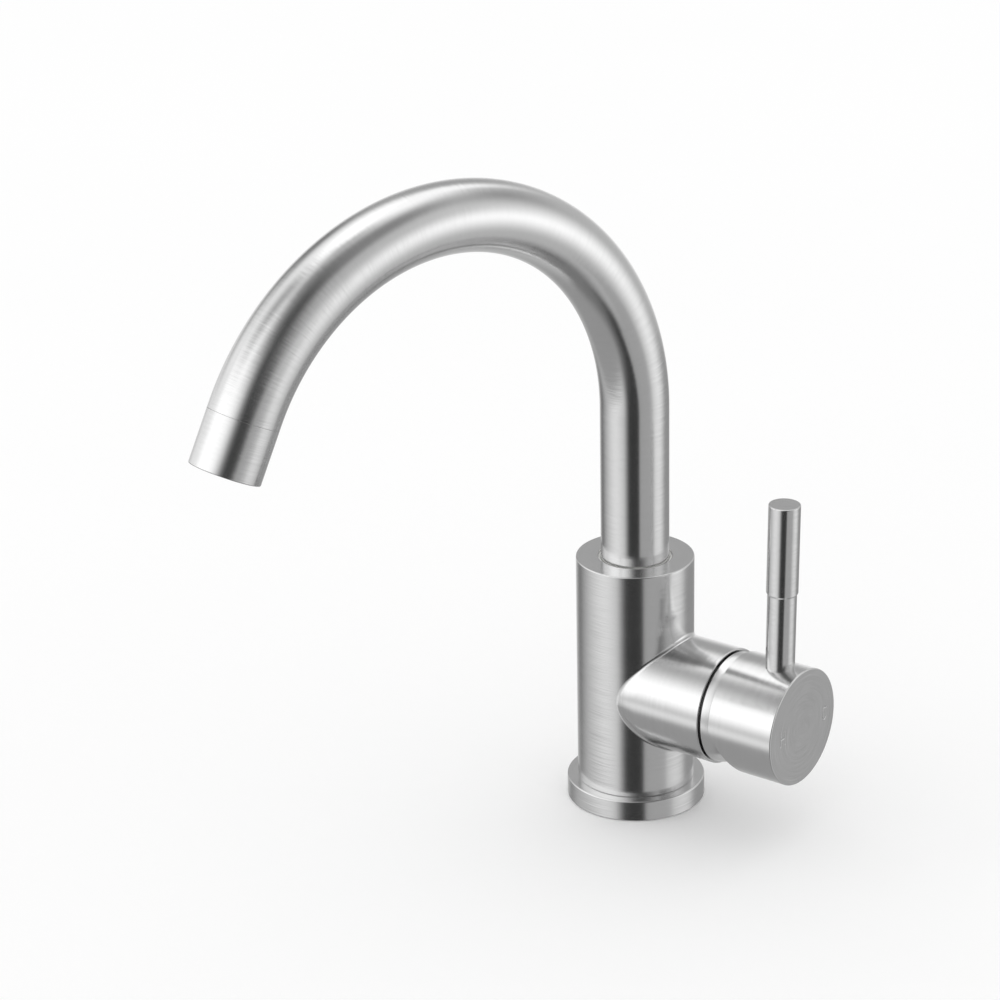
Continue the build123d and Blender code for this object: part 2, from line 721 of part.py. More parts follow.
def spout_turned(shape):
    """Turns a piece with the spout about the column."""
    return Rot(0, 0, -SPOUT_TURN) * shape


def arch_point(angle):
    """Point of the arch's centre line, angle degrees round from its start, before the turn."""
    swept = radians(angle)
    return Vector(0, -ARCH_RADIUS * (1 - cos(swept)), arch_start + ARCH_RADIUS * sin(swept))


def outlet_plane():
    """Plane across the outlet's mouth, its normal pointing out of the spout, before the turn."""
    flow = Vector(0, -sin(radians(ARCH_SWEEP)), cos(radians(ARCH_SWEEP)))
    return Plane(origin=arch_point(ARCH_SWEEP) + flow * SPOUT_TAIL, x_dir=(1, 0, 0), z_dir=flow)


def spout_tube():
    """Bent stainless tube from the foot to the outlet collar."""
    outlet = outlet_plane()
    rise = Line((0, 0, foot_shoulder), arch_point(0))
    arch = ThreePointArc(arch_point(0), arch_point(ARCH_SWEEP / 2), arch_point(ARCH_SWEEP))
    tail = Line(arch_point(ARCH_SWEEP), outlet.origin - outlet.z_dir * COLLAR_LENGTH)
    section = Circle(SPOUT_DIA / 2) - Circle(SPOUT_DIA / 2 - SPOUT_WALL)
    return spout_turned(sweep(Pos(0, 0, foot_shoulder) * section, path=rise + arch + tail))


def spout_foot():
    """Turned foot in the column's socket, grooved for its rings and its locking screw."""
    outer, bore = foot_dia / 2, spigot_radius - FOOT_SPIGOT_WALL
    body = turned(
        (bore, foot_low),
        (outer - FOOT_CHAMFER, foot_low),
        (outer, foot_low + FOOT_CHAMFER),
        (outer, foot_shoulder - FACE_GAP),
        (spigot_radius, foot_shoulder - FACE_GAP),
        (spigot_radius, foot_shoulder + FOOT_SPIGOT),
        (bore, foot_shoulder + FOOT_SPIGOT),
    )
    half = O_RING_SECTION / 2 + O_RING_SIDE_ROOM
    floor = socket_dia - 2 * (O_RING_SECTION + O_RING_FLOOR_ROOM)
    for height in ring_heights:
        body -= ring(foot_dia + PAST, floor, height - half, height + half)
    half = LOCK_GROOVE / 2
    body -= ring(foot_dia + PAST, foot_dia - 2 * LOCK_DEPTH, lock_height - half, lock_height + half)
    low, high = glide_low - 2 * FACE_GAP, glide_low + GLIDE_HEIGHT + 2 * FACE_GAP
    body -= ring(foot_dia + PAST, foot_dia - 2 * (GLIDE_DEPTH + RUNNING), low, high)
    return spout_turned(body)


def spout_o_rings():
    """Two rubber rings that seal the foot in its socket."""
    section = O_RING_SECTION / 2
    radius = socket_dia / 2 - RUNNING - section
    rings = [Pos(0, 0, height) * Torus(radius, section) for height in ring_heights]
    return spout_turned(Compound(rings))


def spout_glide_ring():
    """Split plastic ring that the foot turns on."""
    inner = foot_dia - 2 * GLIDE_DEPTH
    body = ring(socket_dia - 2 * RUNNING, inner, glide_low, glide_low + GLIDE_HEIGHT)
    split = Box(GLIDE_SPLIT, socket_dia / 2, GLIDE_HEIGHT + 2 * PAST, align=BOTTOM)
    return spout_turned(body - Pos(0, foot_dia / 2, glide_low - PAST) * split)


def at_outlet(shape):
    """Places a piece drawn with its mouth at local zero and its length below it."""
    return spout_turned(outlet_plane() * shape)


def outlet_collar():
    """Turned end of the spout, threaded inside for the aerator."""
    outer, thread, bore = SPOUT_DIA / 2, aerator_dia / 2 + RUNNING, waterway_dia / 2
    top, end = FACE_GAP - COLLAR_LENGTH, -COLLAR_LENGTH - COLLAR_SPIGOT
    body = turned(
        (thread, 0),
        (outer - EDGE_BREAK, 0),
        (outer, -EDGE_BREAK),
        (outer, top),
        (spigot_radius, top),
        (spigot_radius, end),
        (bore, end),
        (bore, washer_low - FACE_GAP),
        (thread, washer_low - FACE_GAP),
    )
    return at_outlet(body)


def aerator_cage():
    """Threaded plastic cage of the aerator, with four key notches in its rim."""
    high, inner = -AERATOR_RECESS, aerator_dia - 2 * AERATOR_WALL
    body = ring(aerator_dia, inner, aerator_low, high)
    shelf = inner - 2 * AERATOR_WALL
    body += ring(aerator_dia, shelf, aerator_low + SHELF_LOW, aerator_low + SHELF_HIGH)
    notch = block(KEY_NOTCH_WIDTH, 4 * AERATOR_WALL, high - KEY_NOTCH_DEPTH, high + PAST)
    for step in range(KEY_NOTCHES):
        body -= Rot(0, 0, 360 * step / KEY_NOTCHES) * Pos(0, aerator_dia / 2) * notch
    return at_outlet(body)


def aerator_screen():
    """Square grating that the stream leaves through."""
    high = -AERATOR_RECESS - SCREEN_SINK
    low = high - SCREEN_THICKNESS
    dia = aerator_dia - 2 * (AERATOR_WALL + RUNNING)
    count = int(dia / 2 / SCREEN_PITCH) + 1
    places = [(step + 0.5) * SCREEN_PITCH for step in range(-count, count)]
    hole = block(SCREEN_PITCH - SCREEN_BAR, SCREEN_PITCH - SCREEN_BAR, low - PAST, high + PAST)
    grating = disc(dia - SCREEN_RIM, low, high) - [Pos(x, y) * hole for x in places for y in places]
    return at_outlet(grating + ring(dia, dia - 2 * SCREEN_RIM, low, high))


def aerator_diffuser():
    """Perforated plate that breaks the water up above the screen."""
    low = aerator_low + SHELF_HIGH + FACE_GAP
    high = low + DIFFUSER_THICKNESS
    body = disc(aerator_dia - 2 * (AERATOR_WALL + RUNNING), low, high)
    hole = disc(DIFFUSER_HOLE_DIA, low - PAST, high + PAST)
    holes = [
        Rot(0, 0, 360 * step / count) * Pos(circle, 0) * hole
        for circle, count in DIFFUSER_CIRCLES
        for step in range(count)
    ]
    return at_outlet(body - holes)


def aerator_washer():
    """Flat rubber washer between the aerator and its seat in the collar."""
    outer, inner = aerator_dia - 2 * RUNNING, waterway_dia + 2 * SLIDING
    return at_outlet(ring(outer, inner, washer_low, washer_low + WASHER_THICKNESS))


NODES = (
    faucet_body,
    base_flange,
    base_seal,
    spout_lock_screw,
    top_bush,
    cartridge_base,
    seat_seals,
    disc_seals,
    cartridge_housing,
    fixed_disc,
    moving_disc,
    disc_carrier,
    lever_holder,
    holder_o_ring,
    pivot_pin,
    cartridge_stem,
    cartridge_nut,
    bonnet_o_ring,
    bonnet_dome,
    handle_cap,
    handle_lever,
    handle_set_screw,
    set_screw_plug,
    spout_tube,
    spout_foot,
    spout_o_rings,
    spout_glide_ring,
    outlet_collar,
    aerator_cage,
    aerator_screen,
    aerator_diffuser,
    aerator_washer,
)

os.makedirs("parts", exist_ok=True)
for node in NODES:
    export_step(node(), f"parts/{node.__name__}.step")
print("disc travel per radian of lever tilt, m:", round(disc_travel / radians(LEVER_TRAVEL) / 1000, 6))
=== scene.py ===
"""The visible tap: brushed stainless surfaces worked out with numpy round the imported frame, and its studio.

Metres, +Z up. The column stands on the origin, the valve housing and its handle lie along +X, and the
spout leans towards -Y, turned a little to -X. Every piece keeps the place and size of the node it shows.
"""

import logging
from dataclasses import dataclass, field
from enum import Enum
from math import asin, atan2, cos, hypot, pi, radians, sin, sqrt, tan
from typing import Any, Sequence

import bpy
import numpy as np
from mathutils import Euler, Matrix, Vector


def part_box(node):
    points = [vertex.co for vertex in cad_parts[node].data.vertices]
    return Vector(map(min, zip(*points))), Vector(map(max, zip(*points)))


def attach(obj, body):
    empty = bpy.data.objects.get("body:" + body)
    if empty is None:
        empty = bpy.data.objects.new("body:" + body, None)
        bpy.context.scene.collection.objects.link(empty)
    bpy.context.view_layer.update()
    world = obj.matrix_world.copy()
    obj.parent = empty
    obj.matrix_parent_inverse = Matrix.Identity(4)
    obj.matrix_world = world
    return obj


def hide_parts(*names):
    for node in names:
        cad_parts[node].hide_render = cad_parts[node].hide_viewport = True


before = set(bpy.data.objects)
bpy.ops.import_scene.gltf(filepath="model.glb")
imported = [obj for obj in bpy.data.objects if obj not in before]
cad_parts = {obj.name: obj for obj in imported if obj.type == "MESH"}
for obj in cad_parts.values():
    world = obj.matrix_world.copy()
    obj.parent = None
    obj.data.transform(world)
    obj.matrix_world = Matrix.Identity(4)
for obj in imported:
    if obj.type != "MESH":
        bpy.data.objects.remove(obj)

Array = np.ndarray
MM = 0.001
WELD = 2e-7

logging.basicConfig(level=logging.INFO, format="%(message)s")
log = logging.getLogger("tap")


class Slot(Enum):
    """The record's material slots."""

    STEEL = "brushed_steel"
    SCREW = "screw_steel"
    RUBBER = "seal_rubber"
    BRASS = "turned_brass"
    WHITE = "white_plastic"
    GREY = "grey_plastic"
    CERAMIC = "white_ceramic"


class Body(Enum):
    """The frame's bodies that visible pieces ride on."""

    COLUMN = "column"
    SPOUT = "spout"
    HANDLE = "handle"


# Grid surfaces


@dataclass(frozen=True)
class Placement:
    """A local frame, whose third axis runs along a piece."""

    origin: tuple[float, float, float] = (0.0, 0.0, 0.0)
    across: tuple[float, float, float] = (1.0, 0.0, 0.0)
    up: tuple[float, float, float] = (0.0, 1.0, 0.0)
    along: tuple[float, float, float] = (0.0, 0.0, 1.0)

    def directions(self, local: Array) -> Array:
        """Turns local directions into the shared frame."""
        return local @ np.array((self.across, self.up, self.along))

    def points(self, local: Array) -> Array:
        """Carries local points into the shared frame."""
        return np.array(self.origin) + self.directions(local)


UP = (0.0, 0.0, 1.0)
DOWN = (0.0, 0.0, -1.0)
FORWARD = (1.0, 0.0, 0.0)


@dataclass
class Patch:
    """A surface on a grid of rows and columns.

    Attributes:
        points: rows x columns x 3, in the shared frame.
        normals: outward directions at the same points.
        grain: where each point lies in the brushing, the third number running across the lines.
        across: the direction that the third number runs in, for the whole patch or point by point.
        etched: how deep a mark is at each point, from 0 to 1, or None where there are no marks.
        wraps: whether the last column joins the first.
        keep: rows - 1 x columns flags of the cells that stay, or None for all.
    """

    points: Array
    normals: Array
    grain: Array
    across: Array | tuple[float, float, float] = UP
    etched: Array | None = None
    wraps: bool = True
    keep: Array | None = None

    def cells(self) -> Array:
        """Corner indices of each cell, wound so that it faces along the normals.

        Returns:
            cells x 4 indices of the points, row by row.
        """
        rows, columns = self.points.shape[:2]
        index = np.arange(rows * columns).reshape(rows, columns)
        after = np.roll(index, -1, axis=1)
        quads = np.stack((index[:-1], after[:-1], after[1:], index[1:]), axis=-1)
        if not self.wraps:
            quads = quads[:, :-1]
        if self.keep is not None:
            quads = quads[self.keep]
        quads = quads.reshape(-1, 4)
        flat, facing = self.points.reshape(-1, 3), self.normals.reshape(-1, 3)
        cross = np.cross(flat[quads[:, 2]] - flat[quads[:, 0]], flat[quads[:, 3]] - flat[quads[:, 1]])
        agrees = (cross * facing[quads].mean(axis=1)).sum() > 0
        return quads if agrees else quads[:, ::-1]


@dataclass
class Outline:
    """A profile as (radius, along) points with the outward direction at each.

    The profile is walked with the metal on its left, so the outside is on its right.
    """

    points: Array
    normals: Array

    @staticmethod
    def rounded(corners: Sequence[tuple[float, ...]], steps: int = 5) -> "Outline":
        """Straight runs joined by tangent arcs, or by sharp corners where no radius is given.

        At a corner with radius r that turns by angle q, the arc leaves each run r tan(q / 2) before the
        corner, and its direction turns evenly.

        Args:
            corners: (radius, along) or (radius, along, rounding) of each corner.
            steps: cells in each arc.

        Returns:
            The outline from the first corner to the last.
        """
        places = np.array([corner[:2] for corner in corners])
        roundings = [corner[2] if len(corner) > 2 else 0.0 for corner in corners]
        runs = np.diff(places, axis=0)
        runs /= np.linalg.norm(runs, axis=1)[:, None]
        right = np.stack((runs[:, 1], -runs[:, 0]), axis=1)
        points, normals = [places[:1]], [right[:1]]
        for at, rounding in enumerate(roundings[1:-1], start=1):
            before, after = runs[at - 1], runs[at]
            turn = atan2(before[0] * after[1] - before[1] * after[0], before @ after)
            swept = turn * np.linspace(0, 1, steps + 1)[:, None]
            facing = right[at - 1] * np.cos(swept) + before * np.sin(swept)
            left_at = places[at] - before * abs(rounding * tan(turn / 2))
            centre = left_at - right[at - 1] * rounding * np.sign(turn)
            points.append(centre + facing * rounding * np.sign(turn))
            normals.append(facing)
            if rounding == 0:
                points[-1], normals[-1] = places[[at, at]], right[[at - 1, at]]
        points.append(places[-1:])
        normals.append(right[-1:])
        return Outline(np.vstack(points), np.vstack(normals))

    @staticmethod
    def ball(
        centre: float, radius: float, start: float, end: float, steps: int, hollow: bool = False
    ) -> "Outline":
        """An arc about a point of the axis: (radius sin q, centre + radius cos q), q from start to end.

        Args:
            centre: place of the ball's centre along the axis.
            radius: the ball's radius.
            start: first angle from the axis.
            end: last angle.
            steps: cells in the arc.
            hollow: whether the metal lies outside the ball.

        Returns:
            The arc.
        """
        angle = np.linspace(start, end, steps + 1)
        facing = np.stack((np.sin(angle), np.cos(angle)), axis=1)
        return Outline(np.array((0, centre)) + radius * facing, -facing if hollow else facing)

    def joined(self, *others: "Outline") -> "Outline":
        """This outline followed by others."""
        parts = (self, *others)
        return Outline(np.vstack([p.points for p in parts]), np.vstack([p.normals for p in parts]))

    def lengths(self) -> Array:
        """Distance walked to each point."""
        steps = np.linalg.norm(np.diff(self.points, axis=0), axis=1)
        return np.concatenate(((0.0,), np.cumsum(steps)))


def turns(columns: int) -> Array:
    """Evenly spaced angles of a full circle."""
    return np.linspace(0, 2 * pi, columns, endpoint=False)


def polar(angle: Array, radius: Array | float = 1.0, along: Array | float = 0.0) -> Array:
    """Points round the third axis: (radius cos a, radius sin a, along)."""
    return np.stack(np.broadcast_arrays(radius * np.cos(angle), radius * np.sin(angle), along), axis=-1)


def unit(vectors: Array) -> Array:
    """The vectors made one long."""
    return vectors / np.linalg.norm(vectors, axis=-1)[..., None]


def circular_grain(angle: Array, across: Array) -> Array:
    """Brushing coordinates of lines that run round an axis: (cos angle, sin angle, distance across them)."""
    return polar(angle, 1.0, across)


def lathe(outline: Outline, place: Placement, angles: Array, offset: float = 0.0) -> Patch:
    """Turns an outline about the third axis: (radius cos a, radius sin a, along).

    Args:
        outline: the profile.
        place: frame of the axis.
        angles: column angles.
        offset: added to the brushing coordinate, so that neighbours differ.

    Returns:
        The closed surface of revolution.
    """
    radius, along = outline.points[:, 0, None], outline.points[:, 1, None]
    out, forward = outline.normals[:, 0, None], outline.normals[:, 1, None]
    facing = place.directions(polar(angles, out, forward))
    across = place.directions(polar(angles, -forward, out))
    grain = circular_grain(angles, outline.lengths()[:, None] + offset)
    return Patch(place.points(polar(angles, radius, along)), facing, grain, across)


def between(inner: Array, outer: Array, facing: Sequence[float], grain_of: Any, rows: int = 1) -> Patch:
    """A flat ring between two closed rows of points, each row a straight mix of the two.

    Args:
        inner: columns x 3.
        outer: columns x 3.
        facing: its outward direction.
        grain_of: function from points to brushing coordinates.
        rows: cells from inner to outer.

    Returns:
        The ring.
    """
    share = np.linspace(0, 1, rows + 1)[:, None, None]
    points = inner * (1 - share) + outer * share
    return Patch(points, np.broadcast_to(facing, points.shape), grain_of(points))


class Skin:
    """A visible piece that is built up from patches."""

    def __init__(self, name: str, *patches: Patch) -> None:
        """Keeps the name and the first patches."""
        self.name = name
        self.patches = list(patches)

    def add(self, *patches: Patch) -> None:
        """Adds more patches."""
        self.patches += patches

    def build(self, finish: "Finish", body: Body, *nodes: str) -> None:
        """Welds the patches into one mesh, puts it in the scene and dresses it.

        Points closer than WELD become one, and cells that collapse are dropped. Normals and brushing
        coordinates stay with each cell's corner, so an edge between patches can be sharp.

        Args:
            finish: what it is made of.
            body: the body that it rides on.
            nodes: CAD nodes that it stands for.
        """
        points = np.vstack([p.points.reshape(-1, 3) for p in self.patches])
        normals = np.vstack([p.normals.reshape(-1, 3) for p in self.patches])
        grain = np.vstack([p.grain.reshape(-1, 3) for p in self.patches])
        across = np.vstack([np.broadcast_to(p.across, p.points.shape).reshape(-1, 3) for p in self.patches])
        starts = np.cumsum([0] + [p.points.shape[0] * p.points.shape[1] for p in self.patches[:-1]])
        cells = np.vstack([p.cells() + start for p, start in zip(self.patches, starts)])
        _, first, welded = np.unique(np.round(points / WELD), axis=0, return_index=True, return_inverse=True)
        welded = welded.reshape(-1)
        corners = welded[cells]
        fresh = corners != np.roll(corners, 1, axis=1)
        crossed = (corners[:, 0] == corners[:, 2]) | (corners[:, 1] == corners[:, 3])
        fresh &= ((fresh.sum(axis=1) > 2) & ~crossed)[:, None]
        sizes = fresh.sum(axis=1)
        sizes = sizes[sizes > 0]
        mesh = bpy.data.meshes.new(self.name)
        mesh.vertices.add(len(first))
        mesh.vertices.foreach_set("co", points[first].astype(np.float32).ravel())
        mesh.loops.add(int(sizes.sum()))
        mesh.loops.foreach_set("vertex_index", corners[fresh].astype(np.int32))
        mesh.polygons.add(len(sizes))
        mesh.polygons.foreach_set("loop_start", (np.cumsum(sizes) - sizes).astype(np.int32))
        mesh.update(calc_edges=True)
        picked = cells[fresh]
        for name, vectors in (("grain", grain), ("across", across)):
            layer = mesh.attributes.new(name, "FLOAT_VECTOR", "CORNER")
            layer.data.foreach_set("vector", vectors[picked].astype(np.float32).ravel())
        if any(p.etched is not None for p in self.patches):
            etched = [np.zeros(p.points.shape[:2]) if p.etched is None else p.etched for p in self.patches]
            etched = np.concatenate([depth.ravel() for depth in etched])
            layer = mesh.attributes.new("etched", "FLOAT", "CORNER")
            layer.data.foreach_set("value", etched[picked].astype(np.float32))
        mesh.normals_split_custom_set(normals[picked].tolist())
        mesh.validate()
        piece = bpy.data.objects.new(self.name, mesh)
        bpy.context.scene.collection.objects.link(piece)
        mesh.materials.append(finish.material())
        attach(piece, body.value)
        if nodes:
            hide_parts(*nodes)
        log.info("%s: %d points, %d faces, in %s", self.name, len(first), len(sizes), finish.name)


# Shaders


class Value:
    """A number in a shader, which Python's operators combine with Math nodes."""

    def __init__(self, shader: "Shader", socket: bpy.types.NodeSocket) -> None:
        """Wraps one output socket."""
        self.shader, self.socket = shader, socket

    def math(self, operation: str, *others: "Value | float") -> "Value":
        """This value and others through one Math node."""
        return self.shader.math(operation, self, *others)

    def __add__(self, other: "Value | float") -> "Value":
        """Sum."""
        return self.math("ADD", other)

    __radd__ = __add__

    def __sub__(self, other: "Value | float") -> "Value":
        """Difference."""
        return self.math("SUBTRACT", other)

    def __rsub__(self, other: float) -> "Value":
        """Difference from a plain number."""
        return self.shader.math("SUBTRACT", other, self)

    def __mul__(self, other: "Value | float") -> "Value":
        """Product."""
        return self.math("MULTIPLY", other)

    def __truediv__(self, other: "Value | float") -> "Value":
        """Quotient."""
        return self.math("DIVIDE", other)

    def __pow__(self, power: float) -> "Value":
        """Power."""
        return self.math("POWER", power)

    def __abs__(self) -> "Value":
        """Size without sign."""
        return self.math("ABSOLUTE")

    def step(self, low: float, high: float) -> "Value":
        """A smooth rise from 0 at low to 1 at high.

        Args:
            low: where it leaves 0.
            high: where it reaches 1.

        Returns:
            The rise at this value.
        """
        settings = {"interpolation_type": "SMOOTHSTEP"}
        node = self.shader.node("ShaderNodeMapRange", settings, {0: self, 1: low, 2: high, 3: 0.0, 4: 1.0})
        return Value(self.shader, node.outputs[0])


class Shader:
    """A material's or the world's node tree, written as calls and expressions."""

    def __init__(self, owner: bpy.types.Material | bpy.types.World) -> None:
        """Empties the owner's tree."""
        owner.use_nodes = True
        self.tree = owner.node_tree
        self.tree.nodes.clear()

    def node(
        self, kind: str, settings: dict[str, Any] | None = None, inputs: dict[Any, Any] | None = None
    ) -> Any:
        """Adds one node.

        Args:
            kind: the node's type.
            settings: its properties, set first.
            inputs: values, Values or sockets, by socket name or number.

        Returns:
            The node.
        """
        node = self.tree.nodes.new(kind)
        for name, value in (settings or {}).items():
            setattr(node, name, value)
        for name, value in (inputs or {}).items():
            value = value.socket if isinstance(value, Value) else value
            if isinstance(value, bpy.types.NodeSocket):
                self.tree.links.new(value, node.inputs[name])
            else:
                node.inputs[name].default_value = value
        return node

    def math(self, operation: str, *values: "Value | float") -> Value:
        """One Math node."""
        node = self.node("ShaderNodeMath", {"operation": operation}, dict(enumerate(values)))
        return Value(self, node.outputs[0])

    def dot(self, vector: bpy.types.NodeSocket, direction: Sequence[float]) -> Value:
        """A vector's part along a fixed direction."""
        node = self.node("ShaderNodeVectorMath", {"operation": "DOT_PRODUCT"}, {0: vector, 1: direction})
        return Value(self, node.outputs["Value"])

    def attribute(self, name: str) -> Any:
        """The node that reads a piece's own attribute, which is zero on a piece without it."""
        return self.node("ShaderNodeAttribute", {"attribute_type": "GEOMETRY", "attribute_name": name})

    def vector_math(self, operation: str, *values: Any) -> bpy.types.NodeSocket:
        """One Vector Math node."""
        node = self.node("ShaderNodeVectorMath", {"operation": operation}, dict(enumerate(values)))
        return node.outputs[0]

    def leant(self, amount: Value, direction: bpy.types.NodeSocket) -> bpy.types.NodeSocket:
        """The surface's own normal leant towards a direction: normal + amount x direction, made one long.

        Args:
            amount: tangent of the angle.
            direction: across the surface, in the piece's own coordinates.

        Returns:
            The normal.
        """
        settings = {"vector_type": "VECTOR", "convert_from": "OBJECT", "convert_to": "WORLD"}
        turned = self.node("ShaderNodeVectorTransform", settings, {0: direction}).outputs[0]
        inputs = {0: turned, "Scale": amount}
        scaled = self.node("ShaderNodeVectorMath", {"operation": "SCALE"}, inputs).outputs[0]
        upright = self.node("ShaderNodeNewGeometry").outputs["Normal"]
        return self.vector_math("NORMALIZE", self.vector_math("ADD", upright, scaled))

    def place(self) -> bpy.types.NodeSocket:
        """Object coordinates, which are the shared frame in metres."""
        return self.node("ShaderNodeTexCoord").outputs["Object"]

    def scaled(self, vector: bpy.types.NodeSocket, scale: Sequence[float]) -> bpy.types.NodeSocket:
        """A vector with each part multiplied."""
        node = self.node("ShaderNodeMapping", {"vector_type": "POINT"}, {"Vector": vector, "Scale": scale})
        return node.outputs[0]

    def noise(self, vector: bpy.types.NodeSocket, scale: float, detail: float = 2.0) -> Value:
        """Smooth noise between 0 and 1."""
        inputs = {"Vector": vector, "Scale": scale, "Detail": detail}
        return Value(self, self.node("ShaderNodeTexNoise", None, inputs).outputs[0])

    def mix(self, share: "Value | float", first: Any, second: Any) -> bpy.types.NodeSocket:
        """A colour between two colours."""
        node = self.node("ShaderNodeMix", {"data_type": "RGBA"}, {0: share, 6: first, 7: second})
        return node.outputs[2]

    def bump(self, height: Value, distance: float) -> bpy.types.NodeSocket:
        """A normal from a height in units of distance."""
        return self.node("ShaderNodeBump", None, {"Height": height, "Distance": distance}).outputs[0]

    def surface(self, inputs: dict[str, Any]) -> None:
        """Ends the tree in a Principled surface."""
        shader = self.node("ShaderNodeBsdfPrincipled", None, inputs)
        self.node("ShaderNodeOutputMaterial", None, {"Surface": shader.outputs[0]})


# Finishes


@dataclass(frozen=True)
class Finish:
    """What a piece is made of. Each kind fills in its own nodes."""

    name: str
    slot: Slot
    colour: tuple[float, float, float, float]
    roughness: float

    def material(self) -> bpy.types.Material:
        """The finish's material, made once.

        Returns:
            The material, also when it was made before.
        """
        made = bpy.data.materials.get(self.name)
        if made is None:
            made = bpy.data.materials.new(self.name)
            self.fill(Shader(made))
        return made

    def fill(self, shader: Shader) -> None:
        """Fills in the nodes."""
        raise NotImplementedError

    def shade(self, factor: float) -> tuple[float, float, float, float]:
        """The colour made lighter or darker."""
        return (*(min(1.0, part * factor) for part in self.colour[:3]), 1.0)


@dataclass(frozen=True)
class BrushedSteel(Finish):
    """Stainless steel brushed in fine lines round each piece.

    Attributes:
        fine_lines: lines in a metre, counted across them.
        streaks: broader streaks in a metre.
        clouds: slow changes of tone in a metre.
        drift: how often a line changes on its way round.
        lean: how far the lines' flanks lean, as the tangent of the angle at the noise's full swing.
        streak_lean: the same for the streaks.
        variation: how much the tone varies either way.
        etched_shade: tone of an etched mark.
    """

    fine_lines: float = 6000.0
    streaks: float = 1500.0
    clouds: float = 90.0
    drift: float = 1.5
    lean: float = 0.18
    streak_lean: float = 0.008
    variation: float = 0.02
    etched_shade: float = 0.72

    def fill(self, shader: Shader) -> None:
        """Fine lines lean the normal across them, streaks and slow clouds vary tone and roughness.

        Args:
            shader: the material's empty tree.
        """
        along = shader.attribute("grain").outputs["Vector"]
        across = shader.attribute("across").outputs["Vector"]
        etched = Value(shader, shader.attribute("etched").outputs["Fac"])
        fine = shader.noise(shader.scaled(along, (self.drift, self.drift, self.fine_lines)), 1.0)
        streak = shader.noise(shader.scaled(along, (self.drift / 3, self.drift / 3, self.streaks)), 1.0)
        clouds = shader.noise(shader.place(), self.clouds, 3.0)
        tone = (fine * 0.3 + streak * 0.4 + clouds * 0.3).step(0.3, 0.7)
        colour = shader.mix(tone, self.shade(1 - self.variation), self.shade(1 + self.variation))
        shader.surface({
            "Base Color": shader.mix(etched, colour, self.shade(self.etched_shade)),
            "Metallic": 1.0,
            "Roughness": self.roughness + (streak - 0.5) * 0.03 + (clouds - 0.5) * 0.04 + etched * 0.15,
            "Normal": shader.leant((fine - 0.5) * self.lean + (streak - 0.5) * self.streak_lean, across),
        })


@dataclass(frozen=True)
class TurnedMetal(Finish):
    """Machined metal with fine rings and a slight mottle."""

    pitch: float = 0.12 * MM

    def fill(self, shader: Shader) -> None:
        """Noise in the shared frame varies tone and roughness, with a fine bump.

        Args:
            shader: the material's empty tree.
        """
        place = shader.place()
        fine, broad = shader.noise(place, 0.5 / self.pitch, 2.0), shader.noise(place, 140.0, 3.0)
        colour = shader.mix(broad, self.shade(0.88), self.shade(1.08))
        shader.surface({
            "Base Color": colour,
            "Metallic": 1.0,
            "Roughness": self.roughness + (fine - 0.5) * 0.12,
            "Normal": shader.bump(fine, 0.004 * MM),
        })


@dataclass(frozen=True)
class Moulded(Finish):
    """Moulded plastic or rubber with a fine skin."""

    texture: float = 2600.0
    depth: float = 0.01 * MM
    mottle: float = 0.06

    def fill(self, shader: Shader) -> None:
        """Fine noise for the skin and slow noise for the tone.

        Args:
            shader: the material's empty tree.
        """
        place = shader.place()
        skin, cloud = shader.noise(place, self.texture, 3.0), shader.noise(place, 120.0, 2.0)
        colour = shader.mix(cloud, self.shade(1 - self.mottle), self.shade(1 + self.mottle))
        shader.surface({
            "Base Color": colour,
            "Roughness": self.roughness + (skin - 0.5) * 0.12,
            "Normal": shader.bump(skin, self.depth),
        })


STEEL = BrushedSteel("steel_brushed", Slot.STEEL, (0.80, 0.80, 0.80, 1.0), 0.19)
PLAIN_STEEL = TurnedMetal("steel_plain", Slot.STEEL, (0.78, 0.78, 0.785, 1.0), 0.25)
SCREW = TurnedMetal("screw_steel", Slot.SCREW, (0.58, 0.58, 0.60, 1.0), 0.30)
BRASS = TurnedMetal("turned_brass", Slot.BRASS, (0.72, 0.52, 0.26, 1.0), 0.28)
RUBBER = Moulded("seal_rubber", Slot.RUBBER, (0.030, 0.030, 0.032, 1.0), 0.62)
WHITE = Moulded("white_plastic", Slot.WHITE, (0.66, 0.66, 0.65, 1.0), 0.38)
GREY = Moulded("grey_plastic", Slot.GREY, (0.20, 0.20, 0.21, 1.0), 0.42)
CERAMIC = Moulded("white_ceramic", Slot.CERAMIC, (0.82, 0.81, 0.78, 1.0), 0.16, 4200.0, 0.002 * MM, 0.03)
FINISHES = {finish.slot.value: finish for finish in (STEEL, SCREW, BRASS, RUBBER, WHITE, GREY, CERAMIC)}


# The tap's own sizes


@dataclass(frozen=True)
class Housing:
    """Sizes along the valve housing's axis, which crosses the column.

    Attributes:
        blend: radius of the ball that rounds the corner with the column, above and below.
        arc_share: how much of the outer edge's run its rounding takes.
    """

    height: float
    end: float
    radius: float = 21.5 * MM
    thread_radius: float = 18.9 * MM
    chamber_radius: float = 17.8 * MM
    chamber_floor: float = 9.7 * MM
    thread_start: float = 34.4 * MM
    blend: float = 1.6 * MM
    edge: float = 0.4 * MM
    arc_share: float = 0.9
    mouth_edge: float = 0.2 * MM

    def place(self) -> Placement:
        """Local frame along the housing: across is +Y, up is +Z and along is +X."""
        return Placement((0, 0, self.height), (0, 1, 0), (0, 0, 1), (1, 0, 0))


